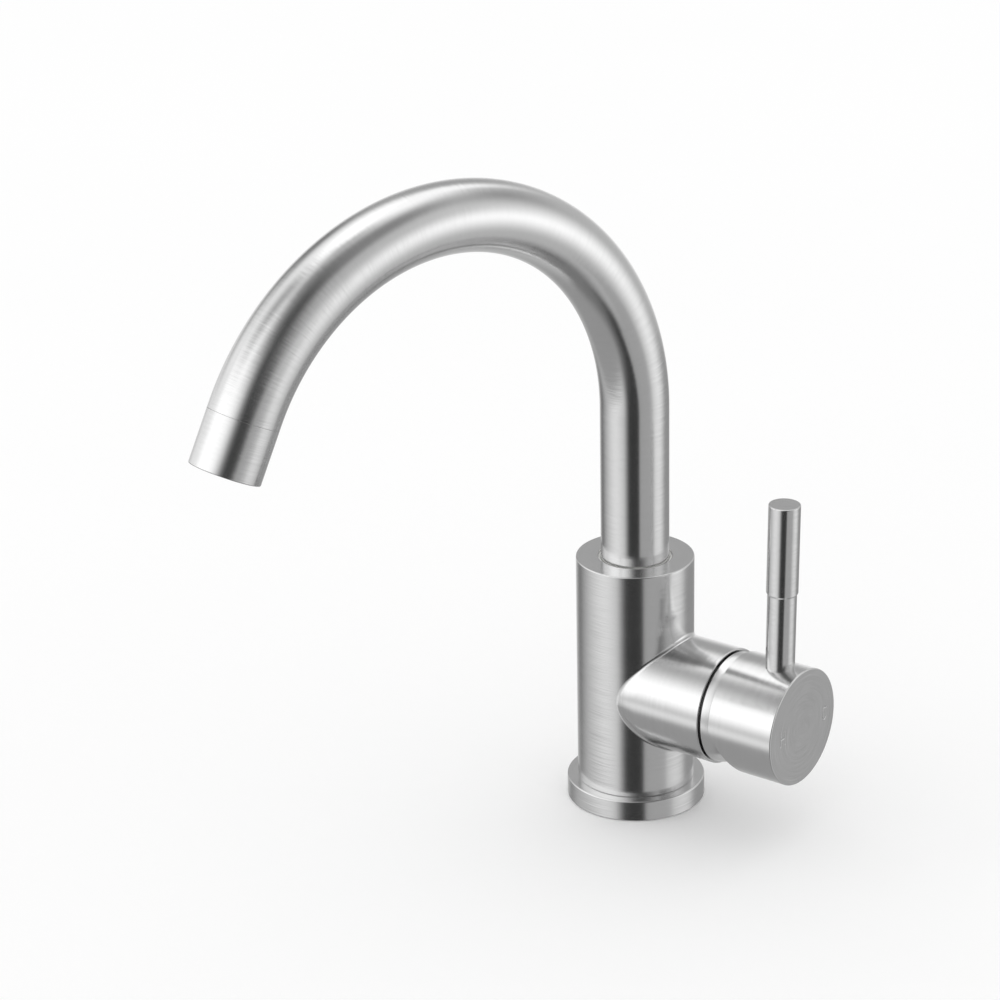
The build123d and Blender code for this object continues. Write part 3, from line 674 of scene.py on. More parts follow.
@dataclass
class Column:
    """Column and side housing in one piece, with the socket for the spout.

    Attributes:
        arc_share: how much of the top edge's run its rounding takes.
        straight_from: height above the housing from which the wall's rows are level.
        window: half the side of the patch of cells that goes for the locking screw's hole.
        nose_depth: how far the housing's wall falls at its front and back, where it runs into the column.
        nose_length: how much of the housing that fall takes.
        nose_span: how far round the housing a nose reaches, either way.
        nose_blend: what the corner's ball gains at a nose.
        stud: radius, depth and pitch of the middle hole below.
        hose: the same for the holes beside it.
        thread_depth: depth of a thread of full form, as a share of its pitch.
        thread_share: how much of that depth is cut.
        thread_slack: how much wider the thread is than the hole, as a share of the radius.
    """

    housing: Housing
    radius: float
    top: float
    foot: float
    flange_top: float
    spigot_radius: float = 17.9 * MM
    socket_radius: float = 13.6 * MM
    socket_floor: float = 68.0 * MM
    edge: float = 0.45 * MM
    foot_edge: float = 0.3 * MM
    lip: float = 0.05 * MM
    straight_from: float = 72.0 * MM
    screw_height: float = 82.0 * MM
    screw_radius: float = 2.55 * MM
    screw_depth: float = 6.5 * MM
    window: float = 3.6 * MM
    half_turn_cells: int = 120
    back_cells: int = 120
    nose_depth: float = 0.75 * MM
    nose_length: float = 6.5 * MM
    nose_span: float = radians(50)
    nose_blend: float = 2.4 * MM
    stud: tuple[float, float, float] = (3.4 * MM, 15.7 * MM, 1.25 * MM)
    hose: tuple[float, float, float] = (4.5 * MM, 12.7 * MM, 1.0 * MM)
    hose_offset: float = 9.5 * MM
    thread_depth: float = 0.55
    thread_share: float = 0.8
    thread_slack: float = 0.02
    thread_rows: int = 6
    spigot_bevel: float = 0.4 * MM
    arc_share: float = 0.98
    wall_cells: int = 6
    straight_cells: int = 24
    blend_cells: int = 8
    housing_cells: int = 12
    parting_cells: int = 24
    ring_cells: int = 4
    foot_cells: int = 3

    def noses(self, angle: Array) -> Array:
        """How near an angle round the housing is to its front or back nose: a smooth rise from 0 to 1."""
        share = np.clip(1 - np.arccos(np.abs(np.sin(angle))) / self.nose_span, 0, 1)
        return share * share * (3 - 2 * share)

    def crossing(self) -> tuple[Array, Array, Array, Array]:
        """The blend's ball centres, and its contact rows on the column and on the housing.

        The ball rolls in the corner, so its centre lies on both walls moved out by its radius b:
        y = (h + b) sin t, z = (h + b) cos t and x = sqrt((c + b)^2 - y^2), for column radius c and housing
        radius h. Each contact is the centre drawn back to its wall. Towards the noses, b grows and h falls.

        Returns:
            The angles t, the centres, the column contacts and the housing contacts.
        """
        house = self.housing
        angle = np.linspace(-pi / 2, 3 * pi / 2, 2 * self.half_turn_cells, endpoint=False)
        nose = self.noses(angle)
        ball, wall = house.blend + self.nose_blend * nose, house.radius - self.nose_depth * nose
        y, rise = (wall + ball) * np.sin(angle), (wall + ball) * np.cos(angle)
        x = np.sqrt((self.radius + ball) ** 2 - y**2)
        centres = np.stack((x, y, rise + house.height), axis=-1)
        drawn = self.radius / (self.radius + ball)
        on_column = np.stack((x * drawn, y * drawn, rise + house.height), axis=-1)
        drawn = wall / (wall + ball)
        on_housing = np.stack((x, y * drawn, rise * drawn + house.height), axis=-1)
        return angle, centres, on_column, on_housing

    def blend(self) -> Patch:
        """The rolling ball's strip between its two contact rows, its direction turned evenly between them.

        Its normals are the ball's, leant by share x the lean of the housing's wall where they meet.

        Returns:
            The strip.
        """
        angle, centres, on_column, on_housing = self.crossing()
        ball = np.linalg.norm(on_column - centres, axis=-1)[:, None]
        first, second = (on_column - centres) / ball, (on_housing - centres) / ball
        swept = np.arccos(np.clip((first * second).sum(axis=-1), -1, 1))[:, None]
        share = np.linspace(0, 1, self.blend_cells + 1)[:, None, None]
        inward = (np.sin((1 - share) * swept) * first + np.sin(share * swept) * second) / np.sin(swept)
        points = centres + inward * ball
        normals = share * (self.housing_wall().normals[0] + second) - inward
        return Patch(points, unit(normals), self.wall_grain(points))

    def wall_grain(self, points: Array) -> Array:
        """Brushing round the column: its lines are level."""
        return circular_grain(np.arctan2(points[..., 1], points[..., 0]), points[..., 2])

    def columns(self) -> Array:
        """Azimuths of the wall's columns: the blend's contacts in front, even steps behind.

        Returns:
            The azimuths, anticlockwise from the -Y side.
        """
        _, _, on_column, _ = self.crossing()
        front = on_column[: self.half_turn_cells + 1]
        azimuth = np.arctan2(front[:, 1], front[:, 0])
        behind = np.linspace(azimuth[-1], azimuth[0] + 2 * pi, self.back_cells + 1)[1:-1]
        return np.concatenate((azimuth, behind))

    def wall(self, low: Array, high: Array, rows: int) -> Patch:
        """Part of the column's wall between two heights that may vary from column to column.

        Args:
            low: height of the lower edge at each column.
            high: height of the upper edge.
            rows: cells from one to the other.

        Returns:
            The part.
        """
        azimuth = self.columns()
        share = np.linspace(0, 1, rows + 1)[:, None]
        height = low * (1 - share) + high * share
        points = polar(azimuth, self.radius, height)
        return Patch(points, polar(azimuth, 1.0, 0 * height), self.wall_grain(points))

    def walls(self) -> list[Patch]:
        """The wall above and below the housing, with a window at the back for the locking screw.

        Returns:
            Its parts, and the locking screw's hole.
        """
        house = self.housing
        level = np.ones_like(self.columns())
        rise = np.zeros_like(level)
        rise[: self.half_turn_cells] = self.crossing()[2][: self.half_turn_cells, 2] - house.height
        rise[0] = 0
        upper = self.wall(house.height + rise, self.straight_from * level, self.wall_cells)
        lower = self.wall((self.flange_top + self.foot_edge) * level, house.height - rise, self.wall_cells)
        straight = self.wall(self.straight_from * level, (self.top - self.edge) * level, self.straight_cells)
        return [upper, lower, *self.windowed(straight)]

    def windowed(self, wall: Patch) -> list[Patch]:
        """Cuts the locking screw's round hole in the wall.

        The cells near it go, and a ring of rows joins the circle to the corners of the cells that are
        left.

        Args:
            wall: the straight part of the wall.

        Returns:
            The wall, the ring, the hole's bore and its floor.
        """
        x, z = wall.points[..., 0], wall.points[..., 2] - self.screw_height
        near = (np.abs(x) < self.window) & (np.abs(z) < self.window) & (wall.points[..., 1] > 0)
        rows, columns = np.flatnonzero(near.any(axis=1)), np.flatnonzero(near.any(axis=0))
        low, high, first, last = rows[0], rows[-1], columns[0], columns[-1]
        wall.keep = np.ones((wall.points.shape[0] - 1, wall.points.shape[1]), bool)
        wall.keep[low:high, first:last] = False
        edge = np.concatenate((
            wall.points[low, first:last],
            wall.points[low:high, last],
            wall.points[high, last:first:-1],
            wall.points[high:low:-1, first],
        ))
        angle = np.arctan2(edge[:, 2] - self.screw_height, edge[:, 0])
        spokes = polar(angle)[:, [0, 2, 1]]
        circle = self.screw_radius * spokes
        circle[:, 2] += self.screw_height
        share = np.linspace(0, 1, self.ring_cells + 1)[:, None, None]
        points = circle * (1 - share) + edge * share
        points[..., 1] = np.sqrt(self.radius**2 - points[..., 0] ** 2)
        ring = Patch(points, points * (1, 1, 0) / self.radius, self.wall_grain(points))
        deep = np.array((0, self.screw_depth / 2, self.screw_depth))[:, None]
        bore = np.broadcast_to(points[0], (len(deep), len(angle), 3)).copy()
        bore[..., 1] = np.where(deep == 0, bore[..., 1], self.radius - deep)
        inward = np.broadcast_to(-spokes, bore.shape)
        centre = np.array((0, self.radius - self.screw_depth, self.screw_height))
        floor = between(np.broadcast_to(centre, edge.shape), bore[-1], (0, 1, 0), self.wall_grain)
        return [wall, ring, Patch(bore, inward, self.wall_grain(bore)), floor]

    def housing_wall(self) -> Patch:
        """The housing's wall from the blend to its rounded end: (x, r sin t, height + r cos t).

        At a nose, r falls by depth (1 - s)^2 over the last bit before the blend, with s the share of it.
        The normals are the cross product of the two directions along the grid.

        Returns:
            The wall.
        """
        angle, _, _, on_housing = self.crossing()
        start, end = on_housing[:, 0], self.housing.end - self.housing.edge
        middle = start + self.nose_length
        share = np.linspace(0, 1, self.housing_cells + 1)[:, None]
        x = np.concatenate((start + self.nose_length * share, middle * (1 - share[1:]) + end * share[1:]))
        falls = np.clip(1 - (x - start) / self.nose_length, 0, 1) ** 2
        radius = self.housing.radius - self.nose_depth * self.noses(angle) * falls
        points = np.stack((x, radius * np.sin(angle), radius * np.cos(angle) + self.housing.height), axis=-1)
        beside = np.roll(points, -1, axis=1) - np.roll(points, 1, axis=1)
        normals = unit(np.cross(np.gradient(points, axis=0), beside))
        return Patch(points, normals, circular_grain(angle, x), FORWARD)

    def housing_mouth(self) -> Patch:
        """Rounded end, thread bore and cartridge chamber of the housing.

        Returns:
            All of it as one surface.
        """
        house = self.housing
        angle, *_ = self.crossing()
        outline = Outline.rounded((
            (house.radius, house.end - house.edge),
            (house.radius, house.end, house.edge * house.arc_share),
            (house.thread_radius, house.end, house.mouth_edge),
            (house.thread_radius, house.thread_start),
            (house.chamber_radius, house.thread_start),
            (house.chamber_radius, house.chamber_floor),
            (0, house.chamber_floor),
        ))
        return lathe(outline, house.place(), pi / 2 - angle)

    def rim(self) -> Patch:
        """Rounded top edge, top face and the spout's socket.

        Returns:
            All of it as one surface.
        """
        outline = Outline.rounded((
            (self.radius, self.top - self.edge),
            (self.radius, self.top, self.edge * self.arc_share),
            (self.socket_radius, self.top, self.lip),
            (self.socket_radius, self.socket_floor),
            (0, self.socket_floor),
        ))
        return lathe(outline, Placement(), self.columns())

    def spigot(self) -> Patch:
        """The spigot that goes down into the flange, and the column's bevelled foot on the flange.

        Returns:
            Both as one surface.
        """
        outline = Outline.rounded((
            (self.spigot_radius - self.spigot_bevel, self.foot),
            (self.spigot_radius, self.foot + self.spigot_bevel),
            (self.spigot_radius, self.flange_top),
            (self.radius - self.foot_edge, self.flange_top),
            (self.radius, self.flange_top + self.foot_edge),
        ))
        return lathe(outline, Placement(), self.columns())

    def underside(self) -> list[Patch]:
        """The spigot's lower face in three cells, one round each threaded hole, and the holes.

        Two straight lines part the cells. They end on columns of the wall, so that the cells meet the
        spigot's edge point to point. Each cell's inner row follows its hole, along the rays from the
        hole's centre to the outer row.

        Returns:
            The cells and the holes.
        """
        outer = self.spigot_radius - self.spigot_bevel
        azimuth = np.sort(np.mod(self.columns(), 2 * pi))
        corner = asin((self.hose_offset - self.hose[0] + self.stud[0]) / 2 / outer)
        ends = (corner, pi - corner, pi + corner, 2 * pi - corner)
        a, b, c, d = (int(np.abs(azimuth - end).argmin()) for end in ends)
        rim = outer * polar(azimuth)[:, :2]
        share = np.linspace(0, 1, self.parting_cells + 1)[1:-1, None]
        upper = rim[a] * (1 - share) + rim[b] * share
        lower = rim[c] * (1 - share) + rim[d] * share
        right = np.concatenate((rim[d:], rim[:a + 1]))
        return [
            *self.holed((0, self.hose_offset), self.hose, np.concatenate((rim[a:b + 1], upper[::-1]))),
            *self.holed((0, -self.hose_offset), self.hose, np.concatenate((rim[c:d + 1], lower[::-1]))),
            *self.holed((0, 0), self.stud, np.concatenate((right, upper, rim[b:c + 1], lower))),
        ]

    def holed(
        self, centre: tuple[float, float], hole: tuple[float, float, float], edge: Array
    ) -> list[Patch]:
        """A flat cell at the foot round a threaded hole, and the hole itself.

        The hole's wall is a helix: its radius falls from the widest one by a triangle wave of
        height / pitch - angle / full turn, which grows from nothing over the first pitch.

        Args:
            centre: the hole's place.
            hole: radius, depth and pitch.
            edge: the cell's outer points, x and y.

        Returns:
            The cell, the threaded wall and the hole's end.
        """
        radius, depth, pitch = hole
        angle = np.arctan2(edge[:, 1] - centre[1], edge[:, 0] - centre[0])
        height = np.linspace(0, depth, int(depth / pitch * self.thread_rows))[:, None]
        phase = np.mod(height / pitch - angle / (2 * pi), 1.0)
        wave = np.abs(2 * phase - 1) * np.clip(height / pitch, 0, 1)
        reach = radius * (1 + self.thread_slack) - self.thread_depth * pitch * wave * self.thread_share
        points = polar(angle, reach, height + self.foot) + (*centre, 0)
        inward = unit(polar(angle, -1.0, np.gradient(reach, height[:, 0], axis=0)))
        wall = Patch(points, inward, self.wall_grain(points))
        outer = np.concatenate((edge, np.full((len(edge), 1), self.foot)), axis=-1)
        face = between(points[0], outer, DOWN, self.wall_grain, self.foot_cells)
        end = np.broadcast_to(np.array((*centre, self.foot + depth)), points[-1].shape)
        return [face, wall, between(end, points[-1], DOWN, self.wall_grain)]

    def build(self) -> None:
        """Builds the column's visible piece."""
        skin = Skin("column_and_housing", *self.walls(), self.blend(), self.housing_wall())
        skin.add(self.housing_mouth(), self.rim(), self.spigot(), *self.underside())
        skin.build(STEEL, Body.COLUMN, "faucet_body")


@dataclass
class Flange:
    """Flat ring at the foot of the column, grooved below for its seal.

    Attributes:
        groove: the groove's inner and outer radius, and the height of its roof.
    """

    radius: float
    foot: float
    top: float
    bore: float = 17.95 * MM
    edge: float = 0.45 * MM
    foot_edge: float = 0.2 * MM
    groove: tuple[float, float, float] = (19.5 * MM, 24.9 * MM, 1.6 * MM)
    columns: int = 288

    def build(self) -> None:
        """Builds the flange from its rounded profile."""
        inner, outer, roof = self.groove
        outline = Outline.rounded((
            (self.bore, self.foot),
            (inner, self.foot),
            (inner, roof),
            (outer, roof),
            (outer, self.foot),
            (self.radius, self.foot, self.foot_edge),
            (self.radius, self.top, self.edge),
            (self.bore, self.top),
            (self.bore, self.foot),
        ))
        ring = lathe(outline, Placement(), turns(self.columns), offset=0.3)
        Skin("base_ring", ring).build(STEEL, Body.COLUMN, "base_flange")


@dataclass
class TopBush:
    """Plastic ring that closes the gap round the tube, its upper edges broken."""

    outer: float
    foot: float
    top: float
    inner: float = 12.55 * MM
    bevel: float = 0.3 * MM
    outer_bevel: float = 0.12 * MM
    columns: int = 192

    def build(self) -> None:
        """Builds the ring from its bevelled profile."""
        outline = Outline.rounded((
            (self.inner, self.foot),
            (self.outer, self.foot),
            (self.outer, self.top - self.outer_bevel),
            (self.outer - self.outer_bevel, self.top),
            (self.inner + self.bevel, self.top),
            (self.inner, self.top - self.bevel),
            (self.inner, self.foot),
        ))
        ring = lathe(outline, Placement(), turns(self.columns))
        Skin("mouth_ring", ring).build(WHITE, Body.COLUMN, "top_bush")


@dataclass
class Spout:
    """Bent tube and its turned end.

    Attributes:
        tail: straight length between the arch and the mouth.
        collar: length of the turned end that shows.
        turn: how far the spout is turned about the column.
        seam: rounding of the two edges where tube and turned end meet.
        arc_share: how much of the seam's run its rounding takes.
        step: gap between the tube's end and the turned end's shoulder.
        spigot: radius and reach of what goes into the tube.
        bores: radii of the waterway, the aerator's thread and the flare at the mouth.
        seat: depth of the aerator's seat.
    """

    top: float
    foot: float
    radius: float = 12.5 * MM
    wall: float = 1.2 * MM
    arch_radius: float = 88.3 * MM
    arch_sweep: float = radians(153.6)
    tail: float = 20.8 * MM
    collar: float = 19.2 * MM
    turn: float = radians(-14.5)
    seam: float = 0.06 * MM
    edge: float = 0.4 * MM
    spigot: tuple[float, float] = (11.25 * MM, 25.2 * MM)
    spigot_edge: float = 0.3 * MM
    bores: tuple[float, float, float] = (8.5 * MM, 10.95 * MM, 11.9 * MM)
    flare_depth: float = 0.9 * MM
    flare_edge: float = 0.15 * MM
    seat: float = 11.9 * MM
    step: float = 0.05 * MM
    arc_share: float = 0.98
    columns: int = 144
    rise_cells: int = 8
    arch_cells: int = 192
    tail_cells: int = 3

    def arch_start(self) -> float:
        """Height at which the tube starts to bend."""
        return self.top - self.arch_radius - self.radius

    def centre_line(self, distance: Array) -> tuple[Array, Array]:
        """The tube's centre line and its direction, before the turn.

        Straight up to the arch, then (-r (1 - cos q), r sin q) with q = distance / r, then straight on.

        Args:
            distance: how far along the line from its foot.

        Returns:
            (y, z) points and (y, z) unit directions.
        """
        bent = distance - (self.arch_start() - self.foot)
        swept = np.clip(bent / self.arch_radius, 0, self.arch_sweep)
        over = bent - swept * self.arch_radius
        forward = np.stack((-np.sin(swept), np.cos(swept)), axis=-1)
        arch = np.stack((self.arch_radius * (np.cos(swept) - 1), self.arch_radius * np.sin(swept)), axis=-1)
        return arch + forward * over[:, None] + (0, self.arch_start()), forward

    def tube_wall(self, distance: Array, radius: float, sign: float) -> Patch:
        """A round wall along the centre line, facing out or in.

        Args:
            distance: places of its rows along the centre line.
            radius: its radius.
            sign: 1 where it faces out and -1 where it faces in.

        Returns:
            The wall.
        """
        line, forward = self.centre_line(distance)
        angle = turns(self.columns)
        side = np.stack((np.zeros(len(line)), forward[:, 1], -forward[:, 0]), axis=-1)[:, None]
        facing = np.array((1, 0, 0)) * np.cos(angle)[:, None] + side * np.sin(angle)[:, None]
        points = np.concatenate((np.zeros((len(line), 1)), line), axis=-1)[:, None] + facing * radius
        ahead = np.concatenate((np.zeros((len(line), 1)), forward), axis=-1)[:, None]
        grain = circular_grain(angle, distance[:, None])
        return Patch(self.turned(points), self.turned(facing) * sign, grain, self.turned(ahead))

    def turned(self, vectors: Array) -> Array:
        """Turned with the spout about the column."""
        c, s = cos(self.turn), sin(self.turn)
        return vectors @ np.array(((c, s, 0), (-s, c, 0), (0, 0, 1)))

    def length(self) -> float:
        """Length of the centre line from the foot to the mouth."""
        return self.arch_start() - self.foot + self.arch_radius * self.arch_sweep + self.tail

    def mouth(self) -> Placement:
        """Frame at the outlet's mouth, its third axis along the stream.

        Returns:
            The frame.
        """
        line, forward = self.centre_line(np.array([self.length()]))
        origin = self.turned(np.array((0, *line[0])))
        along = self.turned(np.array((0, *forward[0])))
        across = self.turned(np.array((1.0, 0, 0)))
        return Placement(tuple(origin), tuple(across), tuple(np.cross(along, across)), tuple(along))

    def build_tube(self) -> None:
        """Builds the tube: its wall outside and inside, and a rounded edge at the seam."""
        rise, bend = self.arch_start() - self.foot, self.arch_radius * self.arch_sweep
        end = self.length() - self.collar - self.seam
        distance = np.concatenate((
            np.linspace(0, rise, self.rise_cells + 1),
            rise + np.linspace(0, bend, self.arch_cells + 1)[1:],
            np.linspace(rise + bend, end, self.tail_cells + 1)[1:],
        ))
        place = self.mouth()
        lip = Outline.rounded((
            (self.radius, -self.collar - self.seam),
            (self.radius, -self.collar, self.seam * self.arc_share),
            (self.radius - self.wall, -self.collar),
        ))
        edge = lathe(lip, place, turns(self.columns))
        skin = Skin("spout_pipe", self.tube_wall(distance, self.radius, 1), edge)
        inner = np.append(distance, end + self.seam)
        skin.add(self.tube_wall(inner, self.radius - self.wall, -1))
        foot = np.array((0.0,))
        ends = [self.tube_wall(foot, r, 1) for r in (self.radius, self.radius - self.wall)]
        points = np.concatenate([p.points for p in ends])
        skin.add(Patch(points, np.broadcast_to(DOWN, points.shape), ends[0].grain.repeat(2, axis=0)))
        skin.build(STEEL, Body.SPOUT, "spout_tube")

    def build_collar(self) -> None:
        """Builds the turned end, with its spigot in the tube, rounded lip and stepped bore."""
        bore, thread, flare = self.bores
        spigot, reach = self.spigot
        shoulder = -self.collar + self.step
        outline = Outline.rounded((
            (bore, -reach),
            (spigot, -reach, self.spigot_edge),
            (spigot, shoulder),
            (self.radius, shoulder, self.seam),
            (self.radius, 0, self.edge),
            (flare, 0, self.flare_edge),
            (thread, -self.flare_depth),
            (thread, -self.seat),
            (bore, -self.seat),
            (bore, -reach),
        ))
        end = lathe(outline, self.mouth(), turns(self.columns), offset=0.7)
        Skin("outlet_end", end).build(STEEL, Body.SPOUT, "outlet_collar")


@dataclass(frozen=True)
class Stroke:
    """One stroke of a mark on the handle's face: a straight bar, or an arc about its first point.

    Attributes:
        start: the bar's first end, or the arc's centre.
        end: the bar's other end.
        radii: the arc's half width and half height, or None for a bar.
        gap: half the angle by which the arc is open.
    """

    start: tuple[float, float]
    end: tuple[float, float] = (0.0, 0.0)
    radii: tuple[float, float] | None = None
    gap: float = 0.0

    def distance(self, y: Array, z: Array) -> Array:
        """Distance of points from the stroke's middle line.

        A bar uses the nearest point of its segment. An arc is an upright ellipse that is open towards +Y
        by the gap angle, measured along the ellipse and then to its ends.

        Args:
            y: first coordinates of the points.
            z: second coordinates.

        Returns:
            The distances.
        """
        if self.radii is None:
            (y0, z0), (y1, z1) = self.start, self.end
            run = (y1 - y0) ** 2 + (z1 - z0) ** 2
            share = np.clip(((y - y0) * (y1 - y0) + (z - z0) * (z1 - z0)) / run, 0, 1)
            return np.hypot(y - y0 - share * (y1 - y0), z - z0 - share * (z1 - z0))
        wide, tall = self.radii
        v, w = (y - self.start[0]) / wide, (z - self.start[1]) / tall
        angle = np.arctan2(w, v)
        held = np.sign(angle) * np.maximum(np.abs(angle), self.gap)
        return np.hypot((v - np.cos(held)) * wide, (w - np.sin(held)) * tall)


def letter_h(y: float, z: float, wide: float, tall: float) -> tuple[Stroke, ...]:
    """The strokes of a plain H."""
    left, right, half = y - wide / 2, y + wide / 2, tall / 2
    return (
        Stroke((left, z - half), (left, z + half)),
        Stroke((right, z - half), (right, z + half)),
        Stroke((left, z), (right, z)),
    )


def letter_c(y: float, z: float, wide: float, tall: float) -> tuple[Stroke, ...]:
    """The stroke of a plain C."""
    return (Stroke((y, z), radii=(wide / 2, tall / 2), gap=radians(52)),)


@dataclass
class Handle:
    """Round head, lever and the bonnet that the head swings over.

    Attributes:
        rim: where the head's upper rim lies along the housing's axis.
        face: where its face lies.
        pivot: where the axis lies that the head tilts about.
        tilt: how far it tilts, which its rim is cut back by below.
        gap: between the bonnet and the head's hollow.
        reach_back: how much longer the bonnet is than its node, on its hidden side.
        field_half: half the size of the face's middle field.
        field_cells: cells across it, before, in, between, in and behind the marks.
        mark_spans: y of the two marks' ends.
        lever_inset: how far the lever's foot lies behind the face.
        lean: how far the lever leans outwards.
    """

    housing: Housing
    rim: float
    face: float
    cap_radius: float
    lever_tip: float
    pivot: float = 40.0 * MM
    tilt: float = radians(25)
    wall: float = 1.5 * MM
    gap: float = 0.4 * MM
    reach_back: float = 0.35 * MM
    edge: float = 0.4 * MM
    rim_edge: float = 0.15 * MM
    edge_cells: int = 8
    face_cells: int = 6
    wall_cells: int = 12
    field_half: tuple[float, float] = (17.6 * MM, 4.6 * MM)
    field_cells: tuple[int, int, int, int, int] = (3, 61, 63, 55, 2)
    field_rows: int = 119
    mark_spans: tuple[float, float, float, float] = (-15.3 * MM, -10.7 * MM, 13.0 * MM, 17.2 * MM)
    stroke_half: float = 0.33 * MM
    stroke_depth: float = 0.12 * MM
    lever_inset: float = 10.1 * MM
    lean: float = radians(0.9)
    rod_radius: float = 5.3 * MM
    grip_radius: float = 5.75 * MM
    grip_length: float = 34.3 * MM
    grip_step: float = 0.7 * MM
    grip_edges: tuple[float, float] = (0.15 * MM, 0.2 * MM)
    lever_columns: int = 128
    bonnet_wall: float = 3.5 * MM
    bonnet_lip: float = 0.9 * MM
    bonnet_cells: tuple[int, int] = (40, 24)
    bonnet_columns: int = 256
    marks: tuple[Stroke, ...] = field(default_factory=lambda: (
        *letter_h(-13.0 * MM, 0.5 * MM, 2.9 * MM, 5.2 * MM),
        *letter_c(15.1 * MM, -0.3 * MM, 2.6 * MM, 4.8 * MM),
    ))

    def hollow_radius(self) -> float:
        """Radius of the ball-shaped hollow about the pivot, which leaves the wall at the rim."""
        return hypot(self.cap_radius - self.wall, self.rim - self.pivot)

    def field(self) -> tuple[Array, Array]:
        """Grid lines of the face's middle field, close together where the marks are.

        Between the marks, the lines meet the field's upper edge at even angles from the face's centre, so
        that the head, which takes its columns from the field's edge, is round there too.

        Returns:
            The lines' y and z.
        """
        wide, tall = self.field_half
        spans, (left, first, middle, second, right) = self.mark_spans, self.field_cells
        turn = np.linspace(atan2(spans[1], tall), atan2(spans[2], tall), middle + 1)
        y = np.concatenate((
            np.linspace(-wide, spans[0], left + 1)[:-1],
            np.linspace(*spans[:2], first + 1)[:-1],
            tall * np.tan(turn)[:-1],
            np.linspace(*spans[2:], second + 1)[:-1],
            np.linspace(spans[3], wide, right + 1),
        ))
        return y, np.linspace(-tall, tall, self.field_rows + 1)

    def marked_field(self) -> Patch:
        """The field with the marks sunk in: depth falls smoothly to the middle line of each stroke.

        Returns:
            The field.
        """
        y, z = np.meshgrid(*self.field())
        distance = np.min([stroke.distance(y, z) for stroke in self.marks], axis=0)
        share = np.clip((self.stroke_half - distance) / (0.5 * self.stroke_half), 0, 1)
        etched = share * share * (3 - 2 * share)
        depth = -self.stroke_depth * etched
        slope_z, slope_y = np.gradient(depth, z[:, 0], y[0])
        facing = unit(np.stack((-slope_y, -slope_z, np.ones_like(y)), axis=-1))
        place = self.housing.place()
        points = place.points(np.stack((y, z, self.face + depth), axis=-1))
        return Patch(points, place.directions(facing), self.face_grain(points), etched=etched, wraps=False)

    def face_grain(self, points: Array) -> Array:
        """Brushing of the face, turned like the wall: its lines are circles."""
        y, z = points[..., 1], points[..., 2] - self.housing.height
        return circular_grain(np.arctan2(z, y), np.hypot(y, z))

    def field_outline(self) -> Array:
        """The field's edge.

        Returns:
            Its points as local (y, z), anticlockwise from the lower right corner.
        """
        y, z = self.field()
        sides = ((y[-1], z), (y[::-1], z[-1]), (y[0], z[::-1]), (y, z[0]))
        return np.concatenate([np.stack(np.broadcast_arrays(*side), axis=-1)[:-1] for side in sides])

    def rim_at(self, radius: Array | float, angle: Array) -> Array:
        """Where the rim lies along the axis: flat above, cut back below at the angle it opens to."""
        below = np.maximum(0, -radius * np.sin(angle))
        return self.rim + below * tan(self.tilt)

    def hollow_edge(self, angle: Array) -> Array:
        """Radius at which the rim's plane meets the hollow.

        On the plane x = a + k r, with r the radius, the ball (x - pivot)^2 + r^2 = R^2 gives a quadratic.

        Args:
            angle: column angles.

        Returns:
            The radius at each.
        """
        k = np.maximum(0, -np.sin(angle)) * tan(self.tilt)
        a = self.rim - self.pivot
        ball = self.hollow_radius()
        return (-k * a + np.sqrt(k**2 * a**2 - (1 + k**2) * (a**2 - ball**2))) / (1 + k**2)

    def cap_rim(self, angle: Array) -> list[Patch]:
        """The head's rim, cut back below, and the ball-shaped hollow behind it.

        Args:
            angle: the head's column angles.

        Returns:
            The rim's chamfer, the rim and the hollow.
        """
        place, inner = self.housing.place(), self.hollow_edge(angle)
        outer = np.full(len(angle), self.cap_radius)
        radii = np.stack((outer, outer - self.rim_edge, inner + self.rim_edge, inner))
        along = self.rim_at(radii, angle)
        along[0] += self.rim_edge
        points = place.points(polar(angle, radii, along))
        cut = (0.0, -sin(self.tilt), -cos(self.tilt))
        back = place.directions(np.where(np.sin(angle)[:, None] < 0, cut, DOWN))
        chamfer_normals = np.stack((place.directions(polar(angle)), back))
        chamfer = Patch(points[:2], chamfer_normals, circular_grain(angle, radii[:2]))
        rim = Patch(points[1:], np.broadcast_to(back, points[1:].shape), circular_grain(angle, radii[1:]))
        ball = self.hollow_radius()
        first = np.arctan2(inner, along[-1] - self.pivot)
        swept = first * (1 - np.linspace(0, 1, self.wall_cells + 1)[:, None])
        hollow = polar(angle, ball * np.sin(swept), self.pivot + ball * np.cos(swept))
        inward = place.directions(-(hollow - (0, 0, self.pivot)) / ball)
        return [chamfer, rim, Patch(place.points(hollow), inward, circular_grain(angle, swept * ball))]

    def build_cap(self) -> None:
        """Builds the head: face, rounded edge, wall, cut-back rim and ball-shaped hollow."""
        place, flat, run = self.housing.place(), self.field_outline(), 2 * self.edge
        angle = np.arctan2(flat[:, 1], flat[:, 0])
        edge = Outline.rounded((
            (self.cap_radius, self.face - run),
            (self.cap_radius, self.face, self.edge),
            (self.cap_radius - run, self.face),
        ), self.edge_cells)
        shoulder = lathe(edge, place, angle, offset=0.11)
        inner = place.points(np.concatenate((flat, np.full((len(flat), 1), self.face)), axis=-1))
        face = between(inner, shoulder.points[-1], FORWARD, self.face_grain, self.face_cells)
        start = self.rim_at(self.cap_radius, angle) + self.rim_edge
        share = np.linspace(0, 1, self.wall_cells + 1)[:, None]
        x = start * (1 - share) + (self.face - run) * share
        out = place.directions(polar(angle, 1.0, 0 * x))
        wall = Patch(place.points(polar(angle, self.cap_radius, x)), out, circular_grain(angle, x), FORWARD)
        skin = Skin("handle_head", self.marked_field(), face, shoulder, wall, *self.cap_rim(angle))
        skin.build(STEEL, Body.HANDLE, "handle_cap")

